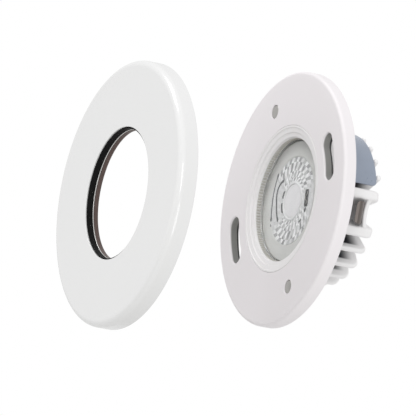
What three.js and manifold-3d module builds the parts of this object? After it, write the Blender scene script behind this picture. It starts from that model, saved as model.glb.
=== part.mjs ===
// Recessed 12 V underwater light with a finned heat sink and a magnetic trim ring.
// Millimetres. The light shines along -Y, +Z is up, and the origin is the centre of the mounting plane:
// the plane of the flange's back edge, which lies on the wall. A point's place is given by its radius from
// the Y axis, its depth y, and its angle in degrees from +X towards +Z.
import * as THREE from "three";
import { mergeVertices } from "three/addons/utils/BufferGeometryUtils.js";
import Module from "manifold-3d";

const wasm = await Module();
wasm.setup();

// ---------- driving dimensions ----------
const gap = 0.3; // between pieces that touch
const overlap = 0.5; // of one shape into the shape it is joined to
const big = 48; // sides of a large round
const medium = 24;
const small = 10;
const tiny = 8; // sides of a screw hole

const flange = {
  radius: 50,
  front: -5.1,
  edge: 1.4,
  rimWidth: 3,
  plate: 3.4, // the face's thickness
  seatRadius: 29.2, // the recess for the window
  seat: -2.6,
  bossWall: 1,
};
flange.plateBack = flange.front + flange.plate;
const boreRadius = 26.1; // the window's bore through the flange
const slot = { radius: 37.7, halfWidth: 3.7, halfAngle: 9.4, angles: [0, 180] };
const gasket = { inner: 30.6, outer: 46.7, margin: 1.8 };
const magnet = { radius: 2.5, thickness: 2, circle: 38.2, sink: 0.2, play: 0.25 };
const magnetAngles = { top: 90, bottom: 270 };

// The bezel's cone leads down to the edge at innerRadius. Its skirt holds the cover glass.
const bezel = {
  outer: 28.9,
  shoulder: 28.4,
  innerRadius: 24.2,
  edge: -2.8,
  back: -3,
  skirt: 25.8,
  skirtBack: -0.1,
};
const glass = { radius: 24, front: -0.9, thickness: 0.8 };
const seal = { inner: 23.9, outer: 25.7, front: 0, rear: 1.1 };
const optic = { radius: 23.5, front: 0.1, middleBack: 0.9, rimBack: 1.7, rimInner: 19.5, middle: 17 };
const sink = {
  front: gap, // the casting's front face, against the flange's boss
  radius: 30, // over the fins
  collarRadius: 29.4,
  rear: 22.6, // the fins' rear edges
  collarEnd: 4.5,
  wall: 26.2,
  cavity: 21.8,
  sealRadius: 26,
  sealSeat: 1.2,
  ledgeRadius: 23.8,
  ledge: 1.8,
  floorFront: 6.2,
  floorBack: 9.2,
  shoulder: 12.4,
  core: 16,
  coreRear: 20,
  driverRadius: 11.6,
  driverStep: 12.3,
  corner: 3.2, // round of a fin's rear corner
};
const fin = { thickness: 2.2, pocketWall: 4, perSector: 7 };
// Three pockets hold the leaf springs. Between two pockets stands one sector of fins.
const pocket = {
  angles: [-30, 90, 210],
  halfAngle: 14.5,
  webFront: 17,
  webBack: 18.6,
  webRadius: 28.2,
  webWidth: 10,
};
const ratingPlate = {
  inner: 29.2,
  outer: 29.8,
  front: 5.4,
  rear: 20.4,
  centre: 30,
  halfAngle: 38,
};

const board = { radius: 17, front: 3.7, thickness: 1.6 };
const chip = { side: 17, front: 2.4, thickness: 1 };
const phosphor = { radius: 6.7, front: 1.6, thickness: 0.5 };
const holder = {
  radius: 16.5,
  opening: 8.4,
  inside: 12.7,
  front: 1.1,
  lip: 0.8,
  rear: 3.4,
};
const holderScrew = { circle: 14.6, angles: [45, 225] };
const flangeScrew = { circle: 27.6, angles: [30, 150, 270] };
const contactBlock = {
  angles: [-20.5, 159.5],
  circle: 11.7,
  depth: 2.8,
  width: 7,
  front: 1.2,
  thickness: 0.9,
};

const driver = { radius: 11.3, front: 12.6, thickness: 1.2 };
const cap = {
  radius: 15.7,
  front: 20.3,
  rear: 22.3,
  screwCircle: 14.2,
  screwAngles: [30, 150, 270],
};
const gland = { stud: 5, studFront: 19.6, across: 6.5, hexFront: 22.6, hexRear: 24.6, bore: 4.5 };
gland.nutFront = gland.hexRear + gap;
gland.nutRear = 27.6;
const cableRadius = 3.2;

const leaf = { width: 8.8, thickness: 0.5, hingeRadius: 27.5, hingeDepth: 16.6 };
const leafFoot = {
  inner: 24,
  outer: 27.2,
  front: 16.3,
  thickness: 0.4,
  width: 6,
  screwRadius: 25.4,
};

// The trim is drawn in place on the flange and then moved by trimOffset to where it is held off.
const trim = {
  radius: 51.7,
  sheet: 1,
  edge: 2.6,
  depth: 7.6,
  hole: 25.7,
  bore: 25.2,
  stackRadius: 34, // over the black ring behind the sheet
};
const keeper = { radius: 48.5, thickness: 1.75 };
trim.front = flange.front - gap - 5.4;
const trimOffset = new THREE.Vector3(0, -66.9, -11.92);

// ---------- helpers ----------
const radians = (degrees) => (degrees * Math.PI) / 180;

// A closed ring or disc round the Y axis. The profile is a list of [radius, y] that runs anticlockwise
// with the radius to the right and y up, and closes on itself unless it starts on the axis.
function turned(profile, sides = big) {
  const onAxis = profile[0][0] === 0;
  const closed = onAxis ? profile : [...profile, profile[0]];
  return new THREE.LatheGeometry(
    closed.map(([r, y]) => new THREE.Vector2(r, y)),
    sides,
  );
}

const ring = (inner, outer, front, rear, sides = big) =>
  turned([[inner, front], [outer, front], [outer, rear], [inner, rear]], sides);

const disc = (radius, front, rear, sides = medium) =>
  turned([[0, front], [radius, front], [radius, rear], [0, rear]], sides);

// A flat outline in X and Z, as a solid from y = front to y = rear.
function slab(shape, front, rear, curveSegments = 12) {
  const settings = { depth: rear - front, bevelEnabled: false, curveSegments };
  const geometry = new THREE.ExtrudeGeometry(shape, settings);
  return geometry.rotateX(Math.PI / 2).translate(0, rear, 0);
}

// An outline in radius and y, as a solid of this width across the radius.
function blade(shape, width, curveSegments = 2) {
  const geometry = new THREE.ExtrudeGeometry(shape, { depth: width, bevelEnabled: false, curveSegments });
  return geometry.translate(0, 0, -width / 2);
}

const outline = (points) => new THREE.Shape(points.map(([x, y]) => new THREE.Vector2(x, y)));

const turnTo = (geometry, angle) => geometry.rotateY(-radians(angle));

const placeAt = (geometry, circle, angle) =>
  geometry.translate(circle * Math.cos(radians(angle)), 0, circle * Math.sin(radians(angle)));

// A rounded-ended slot that follows a circle about the Y axis.
function arcSlot(radius, halfWidth, halfAngle, angle, front, rear) {
  const from = radians(angle - halfAngle);
  const to = radians(angle + halfAngle);
  const end = (a) => [radius * Math.cos(a), radius * Math.sin(a)];
  const shape = new THREE.Shape();
  shape.absarc(0, 0, radius + halfWidth, from, to, false);
  shape.absarc(...end(to), halfWidth, to, to + Math.PI, false);
  shape.absarc(0, 0, radius - halfWidth, to, from, true);
  shape.absarc(...end(from), halfWidth, from + Math.PI, from + 2 * Math.PI, false);
  return slab(shape, front, rear, 5);
}

function solidOf(geometry) {
  const plain = (geometry.index ? geometry.toNonIndexed() : geometry).clone();
  for (const name of Object.keys(plain.attributes)) {
    if (name !== "position") plain.deleteAttribute(name);
  }
  const merged = mergeVertices(plain, 1e-4);
  return new wasm.Manifold(
    new wasm.Mesh({
      numProp: 3,
      vertProperties: merged.attributes.position.array,
      triVerts: new Uint32Array(merged.index.array),
    }),
  );
}

function geometryOf(solid) {
  const mesh = solid.getMesh();
  const geometry = new THREE.BufferGeometry();
  geometry.setAttribute("position", new THREE.BufferAttribute(mesh.vertProperties, 3));
  geometry.setIndex(new THREE.BufferAttribute(mesh.triVerts, 1));
  const flat = geometry.toNonIndexed();
  flat.computeVertexNormals();
  return flat;
}

// base with the added geometries joined to it and the cut ones taken out.
function carve(base, { add = [], cut = [] }) {
  let solid = solidOf(base);
  for (const g of add) solid = solid.add(solidOf(g));
  for (const g of cut) solid = solid.subtract(solidOf(g));
  return geometryOf(solid);
}

const holeAt = (radius, front, rear, circle, angle, sides = small) =>
  placeAt(disc(radius, front, rear, sides), circle, angle);

// A foam ring that fills the flange's recess, cut out round the slots.
function flangeGasket() {
  const front = flange.plateBack + gap;
  return carve(ring(gasket.inner, gasket.outer, front, 0), {
    cut: slot.angles.map((a) =>
      arcSlot(slot.radius, slot.halfWidth + gasket.margin, slot.halfAngle, a, front - 1, 1),
    ),
  });
}

// A screw whose head is in front and whose tip points along +Y, with a round driver socket.
function screw(head, shank, front, headBack, tip) {
  const socket = head * 0.45;
  const socketDepth = (headBack - front) * 0.6;
  return turned(
    [
      [0, front + socketDepth],
      [socket, front + socketDepth],
      [socket, front],
      [head, front],
      [head, headBack],
      [shank, headBack],
      [shank, tip],
      [0, tip],
    ],
    small,
  );
}

// ---------- materials ----------
const finish = (color, roughness, metalness) =>
  new THREE.MeshStandardMaterial({ color, roughness, metalness });
const materials = {
  mattWhite: finish(0xdedbdd, 0.55, 0),
  glossWhite: finish(0xe8e8e8, 0.2, 0),
  bezelWhite: finish(0xececea, 0.4, 0),
  blackRubber: finish(0x141414, 0.8, 0),
  nickel: finish(0xb4b3ae, 0.3, 1),
  zincSteel: finish(0xc8c4bc, 0.35, 1),
  brownSteel: finish(0x6b5852, 0.4, 0.8),
  springSteel: finish(0x6a625c, 0.35, 1),
  clear: finish(0xf4f7f7, 0.05, 0),
  silicone: finish(0xd9d9d6, 0.7, 0),
  phosphor: finish(0xe9dfb0, 0.7, 0),
  ceramic: finish(0xf0f0ec, 0.5, 0),
  boardWhite: finish(0xf2f2f0, 0.5, 0),
  boardGreen: finish(0x1f5a3a, 0.5, 0),
  greyPad: finish(0x8d939a, 0.8, 0),
  blackPlastic: finish(0x1b1b1c, 0.5, 0),
  ferrite: finish(0x2a2a2c, 0.6, 0.2),
  capSleeve: finish(0x2c3f6b, 0.4, 0),
  redWire: finish(0xa6201c, 0.5, 0),
  blackWire: finish(0x161616, 0.5, 0),
  ratingFoil: finish(0x8f99a8, 0.35, 0.4),
};

// ---------- the casting, flange and window ----------
function frontFlange() {
  const edgeSteps = 2;
  const edge = Array.from({ length: edgeSteps + 1 }, (_, i) => {
    const a = (i / edgeSteps) * (Math.PI / 2);
    return [
      flange.radius - flange.edge * (1 - Math.sin(a)),
      flange.front + flange.edge * (1 - Math.cos(a)),
    ];
  });
  const bossRadius = flange.seatRadius + flange.bossWall;
  const body = turned([
    [flange.seatRadius, flange.front],
    ...edge,
    [flange.radius, 0],
    [flange.radius - flange.rimWidth, 0],
    [flange.radius - flange.rimWidth, flange.plateBack],
    [bossRadius, flange.plateBack],
    [bossRadius, 0],
    [boreRadius, 0],
    [boreRadius, flange.seat],
    [flange.seatRadius, flange.seat],
  ]);
  const slots = slot.angles.map((a) =>
    arcSlot(slot.radius, slot.halfWidth, slot.halfAngle, a, flange.front - 1, flange.plateBack + 1),
  );
  const magnetPockets = Object.values(magnetAngles).map((a) =>
    holeAt(
      magnet.radius + magnet.play,
      flange.front - 1,
      flange.front + magnet.sink + magnet.thickness + gap,
      magnet.circle,
      a,
    ),
  );
  const screwHoles = flangeScrew.angles.flatMap((a) => [
    holeAt(1.45, flange.seat - 1, flange.seat + 1.2, flangeScrew.circle, a),
    holeAt(0.95, flange.seat, 1, flangeScrew.circle, a, tiny),
  ]);
  return carve(body, { cut: [...slots, ...magnetPockets, ...screwHoles] });
}

function finShape(outer, plated) {
  const tipStart = ratingPlate.rear + gap;
  const shape = new THREE.Shape();
  shape.moveTo(sink.wall - 1, sink.collarEnd - 2);
  if (plated) {
    // the fins behind the rating plate step in, so that it lies between their tips and the collar
    shape.lineTo(ratingPlate.inner - gap, sink.collarEnd - 2);
    shape.lineTo(ratingPlate.inner - gap, tipStart);
    shape.lineTo(outer, tipStart);
    shape.absarc(outer - 1.6, sink.rear - 1.6, 1.6, 0, Math.PI / 2, false);
  } else {
    shape.lineTo(outer, sink.collarEnd - 2);
    shape.absarc(outer - sink.corner, sink.rear - sink.corner, sink.corner, 0, Math.PI / 2, false);
  }
  shape.lineTo(sink.core + 2, sink.rear);
  shape.lineTo(sink.core - 0.5, sink.coreRear - 0.4);
  shape.lineTo(sink.core - 0.5, sink.shoulder - 1);
  shape.lineTo(sink.wall - 1, sink.shoulder - 1);
  return shape;
}

// The fins' angles, with the thick ones that wall a pocket first and last in each sector.
function finAngles() {
  const last = fin.perSector - 1;
  const pitch = (120 - 2 * pocket.halfAngle) / last;
  return pocket.angles.flatMap((start, sector) =>
    Array.from({ length: fin.perSector }, (_, i) => ({
      angle: start + pocket.halfAngle + i * pitch,
      walls: i === 0 || i === last,
      plated: sector === 0 && i > 0 && i < last,
    })),
  );
}

function heatSink() {
  const s = sink;
  const body = turned([
    [0, s.floorFront],
    [s.cavity, s.floorFront],
    [s.cavity, s.ledge],
    [s.ledgeRadius, s.ledge],
    [s.ledgeRadius, s.sealSeat],
    [s.sealRadius, s.sealSeat],
    [s.sealRadius, s.front],
    [s.collarRadius, s.front],
    [s.collarRadius, s.collarEnd],
    [s.wall, s.collarEnd + 0.7],
    [s.wall, s.shoulder],
    [s.core, s.shoulder],
    [s.core, s.coreRear],
    [s.driverRadius, s.coreRear],
    [s.driverRadius, s.driverStep],
    [s.driverRadius - 0.6, s.driverStep],
    [s.driverRadius - 0.6, s.floorBack],
    [0, s.floorBack],
  ]);
  const fins = finAngles().map(({ angle, walls, plated }) =>
    turnTo(blade(finShape(s.radius, plated), walls ? fin.pocketWall : fin.thickness), angle),
  );
  const webs = pocket.angles.map((a) => {
    const { webFront, webBack, webRadius, webWidth } = pocket;
    const root = s.core - overlap;
    const web = new THREE.BoxGeometry(webRadius - root, webBack - webFront, webWidth);
    web.translate((webRadius + root) / 2, (webBack + webFront) / 2, 0);
    return turnTo(web, a);
  });
  const springHoles = pocket.angles.map((a) =>
    holeAt(1.05, pocket.webFront - 0.5, pocket.webBack + 0.5, leafFoot.screwRadius, a, tiny),
  );
  const boardHoles = holderScrew.angles.map((a) =>
    holeAt(1.35, s.floorFront - 1, s.floorBack - 0.4, holderScrew.circle, a, tiny),
  );
  const wireHoles = wireAngles.map((a) =>
    holeAt(1, s.floorFront - 1, s.floorBack + 1, wireCircle, a, tiny),
  );
  const flangeHoles = flangeScrew.angles.map((a) =>
    holeAt(0.95, s.front - 1, 4, flangeScrew.circle, a, tiny),
  );
  const capHoles = cap.screwAngles.map((a) =>
    holeAt(1.05, 15.5, s.coreRear + 1, cap.screwCircle, a, tiny),
  );
  return carve(body, {
    add: [...fins, ...webs],
    cut: [...springHoles, ...boardHoles, ...wireHoles, ...flangeHoles, ...capHoles],
  });
}

// A shallow cone leads from the flange's face down to the window, and a skirt behind it holds the glass.
const lensBezel = () =>
  turned([
    [bezel.innerRadius, bezel.edge],
    [bezel.shoulder, flange.front],
    [bezel.outer, flange.front],
    [bezel.outer, bezel.back],
    [bezel.skirt, bezel.back],
    [bezel.skirt, bezel.skirtBack],
    [bezel.innerRadius, bezel.skirtBack],
  ]);

const collimatorOptic = () =>
  turned([
    [0, optic.front],
    [optic.radius, optic.front],
    [optic.radius, optic.rimBack],
    [optic.rimInner, optic.rimBack],
    [optic.middle, optic.middleBack],
    [0, optic.middleBack],
  ]);

function plateSector() {
  const { inner, outer, front, rear, centre, halfAngle } = ratingPlate;
  const from = radians(centre - halfAngle);
  const to = radians(centre + halfAngle);
  const shape = new THREE.Shape();
  shape.absarc(0, 0, outer, from, to, false);
  shape.absarc(0, 0, inner, to, from, true);
  return slab(shape, front, rear, 14);
}

// ---------- the lamp inside ----------
function ledHolder() {
  const h = holder;
  const body = turned(
    [
      [h.opening, h.front],
      [h.radius, h.front],
      [h.radius, h.rear],
      [h.inside, h.rear],
      [h.inside, h.front + h.lip],
      [h.opening, h.front + h.lip],
    ],
    medium,
  );
  const screwHoles = holderScrew.angles.flatMap((a) => [
    holeAt(2, h.front - 1, h.front + 1.1, holderScrew.circle, a, small),
    holeAt(1.35, h.front, h.rear + 1, holderScrew.circle, a, tiny),
  ]);
  const c = contactBlock;
  const pockets = c.angles.map((a) => {
    const box = new THREE.BoxGeometry(c.depth + 2 * gap, 3, c.width + 2 * gap);
    return turnTo(box.translate(c.circle, h.front + 0.5, 0), a);
  });
  return carve(body, { cut: [...screwHoles, ...pockets] });
}

function contactBlockAt(angle) {
  const c = contactBlock;
  const box = new THREE.BoxGeometry(c.depth, c.thickness, c.width);
  return turnTo(box.translate(c.circle, c.front + c.thickness / 2, 0), angle);
}

// The holes for the holder's screws and for the leads.
const throughHoles = (front, rear) => [
  ...holderScrew.angles.map((a) => holeAt(1.35, front - 1, rear + 1, holderScrew.circle, a, tiny)),
  ...wireAngles.map((a) => holeAt(1, front - 1, rear + 1, wireCircle, a, tiny)),
];

function ledBoard() {
  const rear = board.front + board.thickness;
  return carve(disc(board.radius, board.front, rear), {
    cut: throughHoles(board.front, rear),
  });
}

function thermalPad() {
  const front = board.front + board.thickness + gap;
  const rear = sink.floorFront - gap;
  return carve(disc(16, front, rear), {
    cut: throughHoles(front, rear),
  });
}

function ledChip() {
  const box = new THREE.BoxGeometry(chip.side, chip.thickness, chip.side);
  return box.translate(0, chip.front + chip.thickness / 2, 0);
}

// Each lead runs from the driver board, through the casting's floor, to a solder pad beside the chip.
const wireAngles = [90, 270];
const wireCircle = 10.2;
const wireRadius = 0.5;
const placeOn = (r, y, angle) =>
  new THREE.Vector3(r * Math.cos(radians(angle)), y, r * Math.sin(radians(angle)));

function ledWire(angle) {
  const points = [
    [wireCircle, driver.front - gap],
    [wireCircle, 8],
    [wireCircle, 5.5],
    [wireCircle, 3.7],
    [wireCircle - 0.4, 3.05],
    [wireCircle - 1.05, 2.95],
  ];
  const route = new THREE.CatmullRomCurve3(
    points.map(([r, y]) => placeOn(r, y, angle)),
  );
  const section = new THREE.Shape().absarc(0, 0, wireRadius, 0, 2 * Math.PI, false);
  const settings = { extrudePath: route, steps: 10, curveSegments: 4, bevelEnabled: false };
  return new THREE.ExtrudeGeometry(section, settings);
}

// ---------- the driver and the cable entry ----------
const driverBack = driver.front + driver.thickness + gap;

function boxOnDriver(width, length, height, x, z) {
  return new THREE.BoxGeometry(width, height, length).translate(x, driverBack + height / 2, z);
}

function drumInductor() {
  const y = driverBack;
  const profile = [
    [0, y],
    [3.1, y],
    [3.1, y + 0.8],
    [2.3, y + 1.1],
    [2.3, y + 2.7],
    [3.1, y + 3],
    [3.1, y + 3.8],
    [0, y + 3.8],
  ];
  return turned(profile, small).translate(-5.6, 0, 4.2);
}

function capacitorCan() {
  const y = driverBack;
  return turned(
    [[0, y], [2.5, y], [2.5, y + 3.9], [2.3, y + 4.2], [0, y + 4.2]],
    small,
  ).translate(-5.6, 0, -4.2);
}

function rearCap() {
  const body = turned(
    [
      [gland.stud + gap, cap.front],
      [12, cap.front],
      [12, cap.front + 0.7],
      [12.9, cap.front + 0.7],
      [12.9, cap.front],
      [cap.radius, cap.front],
      [cap.radius, cap.rear - 0.6],
      [cap.radius - 0.6, cap.rear],
      [gland.stud + gap, cap.rear],
    ],
    medium,
  );
  return carve(body, {
    cut: cap.screwAngles.map((a) => holeAt(1.1, cap.front - 1, cap.rear + 1, cap.screwCircle, a, tiny)),
  });
}

// A screw whose head is behind the cap and whose tip points along -Y.
function capScrew(angle) {
  const geometry = screw(1.7, 0.85, -1.1, 0, 6.3);
  return placeAt(geometry.rotateX(Math.PI).translate(0, cap.rear + 0.2, 0), cap.screwCircle, angle);
}

function hexagon(acrossRadius) {
  const corners = Array.from({ length: 6 }, (_, i) => [
    acrossRadius * Math.cos((i * Math.PI) / 3),
    acrossRadius * Math.sin((i * Math.PI) / 3),
  ]);
  return outline(corners);
}

function glandBody() {
  const hex = slab(hexagon(gland.across), gland.hexFront, gland.hexRear);
  return carve(hex, {
    add: [disc(gland.stud, gland.studFront, gland.hexFront + 0.5, 24)],
    cut: [disc(gland.bore, gland.studFront - 1, gland.hexRear + 1, 24)],
  });
}

function glandNut() {
  const hexRear = gland.nutRear - 1.1;
  const dome = turned(
    [[0, hexRear - 0.5], [5.4, hexRear - 0.5], [5.4, hexRear], [4.6, gland.nutRear], [0, gland.nutRear]],
    24,
  );
  return carve(slab(hexagon(gland.across - 0.3), gland.nutFront, hexRear), {
    add: [dome],
    cut: [
      disc(gland.bore, gland.nutFront - 1, hexRear - 0.2, 24),
      disc(cableRadius, gland.nutFront, gland.nutRear + 1, 24),
    ],
  });
}

// ---------- the leaf springs ----------
// The blade bows outwards from its root at the hinge line and curls in at its free end.
function leafBlade(angle) {
  const middle = [
    [leaf.hingeRadius, leaf.hingeDepth],
    [28.8, 15.7],
    [29.9, 14.6],
    [30.4, 13.5],
    [30, 12.3],
  ];
  const half = leaf.thickness / 2;
  const side = (sign) =>
    middle.map(([r, y], i) => {
      const [r0, y0] = middle[Math.max(i - 1, 0)];
      const [r1, y1] = middle[Math.min(i + 1, middle.length - 1)];
      const length = Math.hypot(r1 - r0, y1 - y0);
      return [r - (sign * half * (y1 - y0)) / length, y + (sign * half * (r1 - r0)) / length];
    });
  return turnTo(blade(outline([...side(1), ...side(-1).reverse()]), leaf.width), angle);
}

function leafFootAt(angle) {
  const f = leafFoot;
  const plate = new THREE.BoxGeometry(f.outer - f.inner, f.thickness, f.width);
  plate.translate((f.outer + f.inner) / 2, f.front + f.thickness / 2, 0);
  const hole = holeAt(1.05, f.front - 1, f.front + 2, f.screwRadius, 0, tiny);
  return turnTo(carve(plate, { cut: [hole] }), angle);
}

function leafScrew(angle) {
  const head = leafFoot.front - 0.2;
  return placeAt(screw(1.5, 0.8, head - 1.1, head, pocket.webBack - gap), leafFoot.screwRadius, angle);
}

// ---------- the trim ----------
function trimPlate() {
  const t = trim;
  const round = (radius, steps) =>
    Array.from({ length: steps + 1 }, (_, i) => {
      const a = (i / steps) * (Math.PI / 2);
      return [t.radius - t.edge + radius * Math.sin(a), t.front + t.edge - radius * Math.cos(a)];
    });
  return turned([
    [t.hole, t.front],
    ...round(t.edge, 3),
    [t.radius, t.front + t.depth],
    [t.radius - t.sheet, t.front + t.depth],
    ...round(t.edge - t.sheet, 2).reverse(),
    [t.hole, t.front + t.sheet],
  ]);
}

// The black ring fills the hole's edge with a thin lip and lies flat behind the sheet.
function trimSeal() {
  const back = trim.front + 2.9;
  const shelf = trim.front + trim.sheet + 0.2;
  return turned([
    [trim.bore, trim.front + 0.05],
    [trim.bore + 0.25, trim.front + 0.05],
    [trim.bore + 0.25, shelf],
    [trim.stackRadius, shelf],
    [trim.stackRadius, back],
    [trim.bore, back],
  ]);
}

const keeperRear = flange.front - gap;
const keeperFront = keeperRear - keeper.thickness;

// ---------- the assembly ----------
const light = new THREE.Group();
const trimGroup = new THREE.Group();
trimGroup.position.copy(trimOffset);
light.add(trimGroup);

function part(name, geometry, material, group = light) {
  const mesh = new THREE.Mesh(geometry, material);
  mesh.name = name;
  group.add(mesh);
}

const m = materials;
part("front_flange", frontFlange(), m.mattWhite);
part("heat_sink", heatSink(), m.mattWhite);
part("rating_plate", plateSector(), m.ratingFoil);
part("flange_gasket", flangeGasket(), m.blackRubber);
for (const [place, angle] of Object.entries(magnetAngles)) {
  const front = flange.front + magnet.sink;
  part(
    `magnet_${place}`,
    holeAt(magnet.radius, front, front + magnet.thickness, magnet.circle, angle),
    m.nickel,
  );
}
part("lens_bezel", lensBezel(), m.bezelWhite);
const glassBack = glass.front + glass.thickness;
part("cover_glass", disc(glass.radius, glass.front, glassBack, big), m.clear);
part("glass_seal", ring(seal.inner, seal.outer, seal.front, seal.rear), m.silicone);
part("collimator_optic", collimatorOptic(), m.clear);

part("led_holder", ledHolder(), m.boardWhite);
const phosphorBack = phosphor.front + phosphor.thickness;
part("led_phosphor", disc(phosphor.radius, phosphor.front, phosphorBack), m.phosphor);
part("led_chip", ledChip(), m.ceramic);
part("led_board", ledBoard(), m.boardWhite);
part("thermal_pad", thermalPad(), m.greyPad);
contactBlock.angles.forEach((a, i) => {
  part(`contact_block_${i + 1}`, contactBlockAt(a), m.blackPlastic);
});
holderScrew.angles.forEach((a, i) => {
  const geometry = placeAt(screw(1.7, 1.1, 1.2, 1.95, 8.5), holderScrew.circle, a);
  part(`holder_screw_${i + 1}`, geometry, m.zincSteel);
});
flangeScrew.angles.forEach((a, i) => {
  const geometry = placeAt(screw(1.25, 0.7, -2.5, -1.7, 3.7), flangeScrew.circle, a);
  part(`flange_screw_${i + 1}`, geometry, m.zincSteel);
});
part("led_wire_positive", ledWire(wireAngles[0]), m.redWire);
part("led_wire_negative", ledWire(wireAngles[1]), m.blackWire);

const driverRear = driver.front + driver.thickness;
part("driver_board", disc(driver.radius, driver.front, driverRear), m.boardGreen);
part("driver_inductor", drumInductor(), m.ferrite);
part("driver_capacitor", capacitorCan(), m.capSleeve);
part("driver_rectifier", boxOnDriver(5, 4, 1.8, 0.6, 7), m.blackPlastic);
part("supply_terminal", boxOnDriver(4.4, 7, 3.6, 5.2, 0), m.blackPlastic);

part("rear_cap", rearCap(), m.mattWhite);
part("rear_cap_seal", ring(12.1, 12.8, cap.front - 0.15, cap.front + 0.55, medium), m.silicone);
cap.screwAngles.forEach((a, i) => {
  part(`cap_screw_${i + 1}`, capScrew(a), m.zincSteel);
});
part("gland_body", glandBody(), m.blackPlastic);
part("gland_nut", glandNut(), m.blackPlastic);
part("gland_grommet", ring(cableRadius, gland.bore - gap, 22.8, 26.1, 24), m.blackRubber);

pocket.angles.forEach((a, i) => {
  part(`spring_foot_${i + 1}`, leafFootAt(a), m.springSteel);
  part(`spring_screw_${i + 1}`, leafScrew(a), m.zincSteel);
  part(`spring_leaf_${i + 1}`, leafBlade(a), m.springSteel);
});

part("trim_plate", trimPlate(), m.glossWhite, trimGroup);
part("trim_seal", trimSeal(), m.blackRubber, trimGroup);
const washer = ring(trim.bore, 36, trim.front + 3.05, trim.front + 3.45);
part("trim_washer", washer, m.zincSteel, trimGroup);
const keeperRing = ring(trim.bore, keeper.radius, keeperFront, keeperRear);
part("keeper_ring", keeperRing, m.brownSteel, trimGroup);

export default light;
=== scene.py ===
import math
import random

import bmesh
import bpy
from mathutils import Matrix, Vector


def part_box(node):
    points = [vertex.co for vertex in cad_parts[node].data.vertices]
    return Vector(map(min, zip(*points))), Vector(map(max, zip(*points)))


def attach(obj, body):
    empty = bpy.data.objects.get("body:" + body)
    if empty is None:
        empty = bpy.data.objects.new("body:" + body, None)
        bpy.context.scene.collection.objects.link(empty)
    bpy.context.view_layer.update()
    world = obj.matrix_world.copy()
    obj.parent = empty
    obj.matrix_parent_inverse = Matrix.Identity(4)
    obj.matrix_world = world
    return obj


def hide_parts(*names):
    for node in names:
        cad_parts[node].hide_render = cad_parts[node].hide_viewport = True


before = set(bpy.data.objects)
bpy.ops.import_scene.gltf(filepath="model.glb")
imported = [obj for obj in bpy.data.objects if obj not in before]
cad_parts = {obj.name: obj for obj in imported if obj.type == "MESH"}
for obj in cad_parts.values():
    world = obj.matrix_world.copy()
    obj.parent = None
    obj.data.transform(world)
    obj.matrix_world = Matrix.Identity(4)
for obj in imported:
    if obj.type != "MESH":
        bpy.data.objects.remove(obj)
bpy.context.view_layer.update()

mm = 0.001
fullTurn = 2 * math.pi


# A node's front and back along the axis, and its radius
def nodeSpan(node):
    low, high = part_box(node)
    return low.y / mm, high.y / mm, (high.z - low.z) / 2 / mm


# A node's middle, across the axis
def nodeMiddle(node):
    low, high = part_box(node)
    return (low.x + high.x) / 2 / mm, (low.z + high.z) / 2 / mm


def addObject(name, data, material=None):
    piece = bpy.data.objects.new(name, data)
    bpy.context.scene.collection.objects.link(piece)
    if material:
        data.materials.append(material)
    return piece


# ---- camera, lights and floor ----
cameraSet = {
    "azimuth": 59.9,
    "elevation": -27.6,
    "roll": -3.82,
    "lens": 600.0,
    "sensor": 36.0,
    "fieldWidth": 160.6,  # what the picture is wide, at the flange
    "aimRight": -28.2,  # from the flange's centre to the picture's middle
    "aimUp": -3.63,
}


def viewAxes(azimuth, elevation, roll=0.0):
    a, e, t = (math.radians(v) for v in (azimuth, elevation, roll))
    back = Vector((math.sin(a) * math.cos(e), -math.cos(a) * math.cos(e), math.sin(e)))
    level = Vector((math.cos(a), math.sin(a), 0))
    upright = back.cross(level)
    right = level * math.cos(t) + upright * math.sin(t)
    return right, back.cross(right), back


def makeCamera(s):
    right, up, back = viewAxes(s["azimuth"], s["elevation"], s["roll"])
    data = bpy.data.cameras.new("camera")
    data.lens, data.sensor_width = s["lens"], s["sensor"]
    data.clip_start, data.clip_end = 0.05, 100
    distance = s["fieldWidth"] * mm * s["lens"] / s["sensor"]
    flangeCentre = Vector((0, nodeSpan("front_flange")[0], 0)) * mm
    aim = flangeCentre + (right * s["aimRight"] + up * s["aimUp"]) * mm
    camera = addObject("camera", data)
    turn = Matrix((right, up, back)).transposed().to_4x4()
    camera.matrix_world = Matrix.Translation(aim + back * distance) @ turn
    bpy.context.scene.camera = camera


# Each lamp stands off the light in a direction, with its side and its power
lampSet = {"front": {"azimuth": 58, "elevation": -6, "distance": 3.0, "side": 1.2, "power": 14.0},
    "over": {"azimuth": 15, "elevation": 58, "distance": 2.5, "side": 1.2, "power": 16.0},
    "under": {"azimuth": 78, "elevation": -42, "distance": 3.0, "side": 1.4, "power": 16.0}}
worldSet = {"seen": 1.0, "light": 0.84}
floorSet = {"below": 4.0, "side": 60.0}


def makeLamp(name, s):
    data = bpy.data.lights.new(name, "AREA")
    data.energy, data.size = s["power"], s["side"]
    lamp = addObject(name, data)
    back = viewAxes(s["azimuth"], s["elevation"])[2]
    lamp.location = back * s["distance"]
    lamp.rotation_mode = "QUATERNION"
    lamp.rotation_quaternion = (-back).to_track_quat("-Z", "Y")


def makeWorld(s):
    world = bpy.data.worlds.new("studio")
    bpy.context.scene.world = world
    world.use_nodes = True
    tree = world.node_tree
    ground = tree.nodes["Background"]
    path = tree.nodes.new("ShaderNodeLightPath")
    strength = tree.nodes.new("ShaderNodeMix")
    strength.inputs["A"].default_value = s["light"]
    strength.inputs["B"].default_value = s["seen"]
    tree.links.new(path.outputs["Is Camera Ray"], strength.inputs["Factor"])
    tree.links.new(strength.outputs["Result"], ground.inputs["Strength"])
    ground.inputs["Color"].default_value = (1, 1, 1, 1)


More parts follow.
